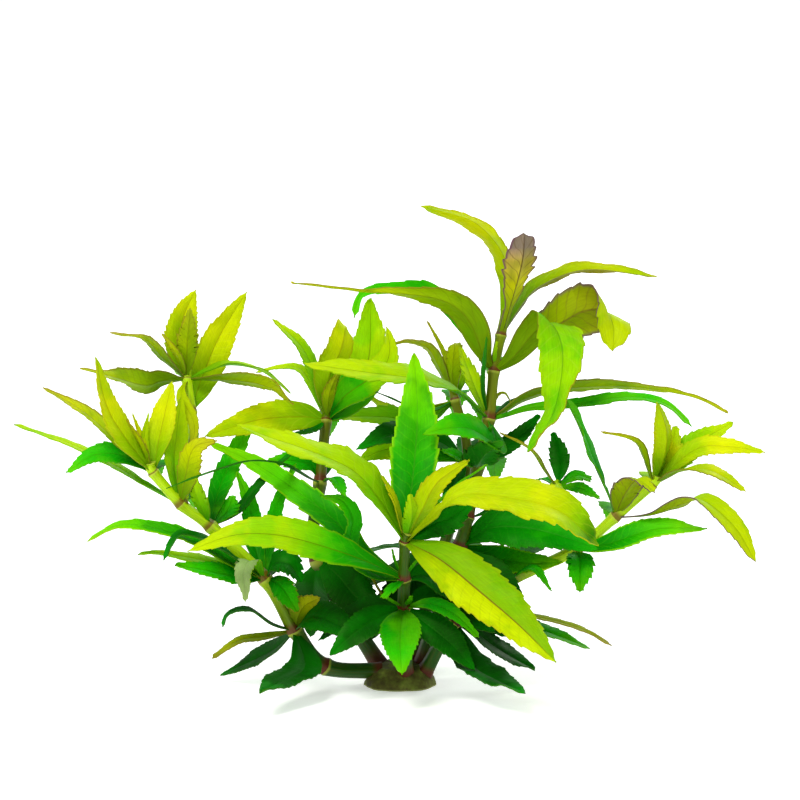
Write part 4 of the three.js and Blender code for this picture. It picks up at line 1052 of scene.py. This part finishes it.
def leaf_colouring(name, look):
    """A satin leaf: its colour runs from stalk to tip, is patchy and streaky, has a rib, side
    veins that end in its teeth, a tinted margin and painted shade near the crown; light comes through it."""
    recipe = Recipe(name)
    blade_map = recipe.node("ShaderNodeUVMap", uv_map="UVMap").outputs[0]
    vein_map = recipe.node("ShaderNodeUVMap", uv_map="veins").outputs[0]
    where = recipe.node("ShaderNodeTexCoord").outputs["Object"]
    blade_xyz = recipe.node("ShaderNodeSeparateXYZ", {0: blade_map})
    vein_xyz = recipe.node("ShaderNodeSeparateXYZ", {0: vein_map})
    aside = recipe.maths("ABSOLUTE", recipe.maths("MULTIPLY_ADD", blade_xyz.outputs[1], 2.0, -1.0))

    patches = recipe.noise(where, scale=95.0, detail=3.0, roughness=0.55)
    drift = recipe.maths("MULTIPLY_ADD", patches, 0.24, -0.12)
    along = [(position, srgb(*tint)) for position, tint in look["along"]]
    colour = recipe.ramp(recipe.maths("ADD", blade_xyz.outputs[0], drift), along)
    # On the half-shaded yellow leaf, the colour of one half is painted shade.
    if "other_side" in look:
        tint, none_at, all_at = look["other_side"]
        side = recipe.mask(blade_xyz.outputs[1], low=none_at, high=all_at)
        share = recipe.maths("MULTIPLY", side, OTHER_SIDE_STRENGTH)
        colour = recipe.blend(share, colour, srgb(*tint))
    tint, strength = look["patch"]
    share = recipe.maths("MULTIPLY", recipe.mask(patches, low=0.48, high=0.64), strength)
    colour = recipe.blend(share, colour, srgb(*tint))

    # Fine streaks run lengthwise.
    streaks = recipe.streaks(vein_map, along=0.7, across=34.0)
    colour = recipe.shaded(colour, recipe.mask(streaks, low=0.3, high=0.75, start=0.88, end=1.08))

    # Side veins slope from the rib to the teeth, which the second UV map counts.
    inwards = recipe.maths("MULTIPLY", recipe.maths("SUBTRACT", 1.0, aside), VEIN_SLOPE)
    phase = recipe.maths("FRACT", recipe.maths("ADD", recipe.maths("ADD", vein_xyz.outputs[0], inwards), 0.5))
    from_vein = recipe.maths("ABSOLUTE", recipe.maths("SUBTRACT", phase, 0.5))
    veins = recipe.mask(from_vein, low=0.02, high=0.11, start=1.0, end=0.0)
    ribs = recipe.mask(aside, low=0.03, high=0.11, start=1.0, end=0.0)
    margins = recipe.mask(aside, low=0.86, high=1.0)
    for line, key in ((veins, "vein"), (ribs, "rib"), (margins, "margin")):
        tint, strength = look[key]
        colour = recipe.blend(recipe.maths("MULTIPLY", line, strength), colour, srgb(*tint))

    # Painted shade: leaves near the crown are darkened. The painted shade is wider than it is deep or high.
    squeezed = recipe.stretched(where, (0.62, 1.0, 0.8))
    reach = recipe.node("ShaderNodeVectorMath", {0: squeezed}, operation="LENGTH").outputs["Value"]
    colour = recipe.shaded(colour, recipe.mask(reach, low=0.008, high=0.034, start=0.4, end=1.0))

    grain = recipe.noise(where, scale=1500.0, detail=2.0, roughness=0.6)
    quilt = recipe.maths("ADD", recipe.maths("MULTIPLY", veins, -0.5), recipe.maths("MULTIPLY", grain, 0.25))
    bump = recipe.node("ShaderNodeBump", {"Height": quilt, "Strength": 0.4, "Distance": 0.1 * MM})
    body = recipe.node("ShaderNodeBsdfPrincipled", {
        "Base Color": colour, "Roughness": 0.5, "Specular IOR Level": 0.14,
        "Specular Tint": (0.72, 1, 0.35, 1), "Normal": bump.outputs[0]})
    through = recipe.node("ShaderNodeBsdfTranslucent", {"Color": colour, "Normal": bump.outputs[0]})
    both = recipe.node("ShaderNodeMixShader", {0: look["glow"], 1: body.outputs[0], 2: through.outputs[0]})
    recipe.node("ShaderNodeOutputMaterial", {0: both.outputs[0]})
    return recipe.material


def stem_finish():
    """A juicy ridged stem: olive green, darker and greener low down, painted lime far out to the
    sides as painted light, maroon just above each joint and pale just below it."""
    recipe = Recipe("stem_skin")
    wrap = recipe.node("ShaderNodeUVMap", uv_map="UVMap").outputs[0]
    wrap_xyz = recipe.node("ShaderNodeSeparateXYZ", {0: wrap})
    where = recipe.node("ShaderNodeTexCoord").outputs["Object"]
    height = recipe.node("ShaderNodeSeparateXYZ", {0: where}).outputs[2]
    outwards = recipe.maths("ABSOLUTE", recipe.node("ShaderNodeSeparateXYZ", {0: where}).outputs[0])
    colour = recipe.ramp(recipe.mask(height, low=0.008, high=0.075), [
        (0, srgb(20, 76, 0)), (0.35, srgb(58, 92, 0)), (0.7, srgb(92, 104, 0)), (1, srgb(112, 128, 0))])
    # Painted light: stems far out to the sides, where they are lit, are painted lime.
    colour = recipe.blend(recipe.mask(outwards, low=0.017, high=0.032), colour, srgb(174, 214, 0))
    streaks = recipe.streaks(wrap, along=1.4, across=24.0)
    dark = recipe.maths("MULTIPLY", recipe.mask(streaks, low=0.4, high=0.7), 0.4)
    colour = recipe.blend(dark, colour, srgb(92, 84, 0))
    ragged = recipe.maths("MULTIPLY_ADD", streaks, 0.12, wrap_xyz.outputs[0])
    blush = recipe.mask(ragged, low=0.12, high=0.27, start=1.0, end=0.0)
    colour = recipe.blend(recipe.maths("MULTIPLY", blush, 0.8), colour, srgb(96, 14, 16))
    scar = recipe.mask(wrap_xyz.outputs[0], low=0.93, high=0.985)
    colour = recipe.blend(recipe.maths("MULTIPLY", scar, 0.6), colour, srgb(170, 180, 60))
    bump = recipe.node("ShaderNodeBump", {"Height": streaks, "Strength": 0.6, "Distance": 0.15 * MM})
    body = recipe.node("ShaderNodeBsdfPrincipled", {
        "Base Color": colour, "Roughness": 0.42, "Specular IOR Level": 0.2, "Subsurface Weight": 0.15,
        "Subsurface Radius": (0.8 * MM, 1.0 * MM, 0.3 * MM), "Normal": bump.outputs[0]})
    recipe.node("ShaderNodeOutputMaterial", {0: body.outputs[0]})
    return recipe.material


def crown_finish():
    """A fibrous crown, brown and green, with a pale cut face below."""
    recipe = Recipe("crown_skin")
    where = recipe.node("ShaderNodeTexCoord").outputs["Object"]
    patches = recipe.noise(where, scale=420.0, detail=5.0, roughness=0.6)
    colour = recipe.ramp(patches, [
        (0.3, srgb(52, 44, 18)), (0.5, srgb(84, 84, 30)), (0.7, srgb(110, 122, 44))])
    height = recipe.node("ShaderNodeSeparateXYZ", {0: where}).outputs[2]
    cut = recipe.mask(height, low=0.0001, high=0.0004, start=1.0, end=0.0)
    colour = recipe.blend(recipe.maths("MULTIPLY", cut, 0.7), colour, srgb(170, 176, 110))
    bump = recipe.node("ShaderNodeBump", {"Height": patches, "Strength": 0.8, "Distance": 0.5 * MM})
    body = recipe.node("ShaderNodeBsdfPrincipled", {
        "Base Color": colour, "Roughness": 0.75, "Specular IOR Level": 0.2, "Normal": bump.outputs[0]})
    recipe.node("ShaderNodeOutputMaterial", {0: body.outputs[0]})
    return recipe.material


def cloud_texture(name, size_mm, depth):
    """A soft random texture for a modifier that pushes a surface in and out."""
    texture = bpy.data.textures.new(name, "CLOUDS")
    texture.noise_scale = size_mm * MM
    texture.noise_depth = depth
    return texture


waviness = cloud_texture("waviness", size_mm=6, depth=1)
knobbliness = cloud_texture("knobbliness", size_mm=2.6, depth=2)
finishes = {key: leaf_colouring(f"leaf_{key}", look) for key, look in COLOURINGS.items()}
finishes["stem"] = stem_finish()
finishes["crown"] = crown_finish()
patterns = {name: shape_blade(name, *sizes) for name, sizes in BLADES.items()}
internode_pattern = shape_internode()


def dress(piece, node):
    """Declares a finished piece: it rides on the plant's one body and stands for its node."""
    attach(piece, "root")
    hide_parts(node)


def build_plant():
    """Grows the crown, then each stem with its small leaves, then the grown leaves."""
    dress(shape_crown(), "crown")
    for name in STEMS:
        dress(grow_stem(name), f"stem_{name}")
        own = [row for row in SMALL_LEAVES if joint_stem[row[0]] == name]
        small = join([grow_leaf(f"small_{name}_{i}", *row) for i, row in enumerate(own)])
        small.name = f"stem_{name}_small_leaves"
        dress(small, f"stem_{name}")
    for name, row in LEAVES.items():
        dress(grow_leaf(name, *row), f"leaf_{name}")
    for pattern in list(patterns.values()) + [internode_pattern]:
        drop(pattern)


# Stage

def lay_floor():
    """A wide pale floor that bounces light up into the plant."""
    bpy.ops.object.select_all(action="DESELECT")
    bpy.ops.mesh.primitive_plane_add(size=12, location=(0, 0, 0))
    floor = bpy.context.object
    floor.name = "floor"
    recipe = Recipe("floor_white")
    body = recipe.node("ShaderNodeBsdfPrincipled", {
        "Base Color": (0.93, 0.93, 0.93, 1), "Roughness": 0.9, "Specular IOR Level": 0.1,
        "Emission Color": (1, 1, 1, 1), "Emission Strength": 0.45})
    recipe.node("ShaderNodeOutputMaterial", {0: body.outputs[0]})
    floor.data.materials.append(recipe.material)


def hang_light(name, at, aim, power, size, colour):
    """A square lamp that faces a point."""
    light = bpy.data.lights.new(name, "AREA")
    light.energy = power
    light.size = size
    light.color = colour
    lamp = bpy.data.objects.new(name, light)
    bpy.context.collection.objects.link(lamp)
    lamp.location = at
    lamp.rotation_euler = (Vector(aim) - Vector(at)).to_track_quat("-Z", "Y").to_euler()


def light_stage():
    """A white room, a warm key lamp before the plant and a green-white lamp behind it."""
    world = bpy.data.worlds.new("pale_room")
    world.use_nodes = True
    background = world.node_tree.nodes["Background"]
    background.inputs["Color"].default_value = (1, 1, 1, 1)
    background.inputs["Strength"].default_value = 0.62
    bpy.context.scene.world = world
    heart = (0, 0, 0.05)
    hang_light("key", at=(-0.45, -0.75, 1.15), aim=heart, power=15, size=0.5, colour=(1, 0.99, 0.95))
    hang_light("rim", at=(0.5, 0.9, 0.8), aim=heart, power=7, size=0.6, colour=(0.94, 1, 0.94))


def set_camera():
    """Stands the camera where the plant's layout is seen from, framed as the photograph."""
    camera_data = bpy.data.cameras.new("camera")
    camera_data.sensor_width = SENSOR_MM
    camera_data.lens = SENSOR_MM * VIEW_DISTANCE * PIXELS_PER_MM / FRAME_PIXELS
    camera = bpy.data.objects.new("camera", camera_data)
    bpy.context.collection.objects.link(camera)
    ahead = Vector((0, math.cos(VIEW_TILT), -math.sin(VIEW_TILT)))
    camera.location = MM * (Vector((0, 0, VIEW_HEIGHT)) - VIEW_DISTANCE * ahead)
    camera.rotation_euler = (math.pi / 2 - VIEW_TILT, 0, 0)
    bpy.context.scene.camera = camera
    bpy.context.scene.view_settings.view_transform = "Standard"


set_camera()
light_stage()
lay_floor()
build_plant()
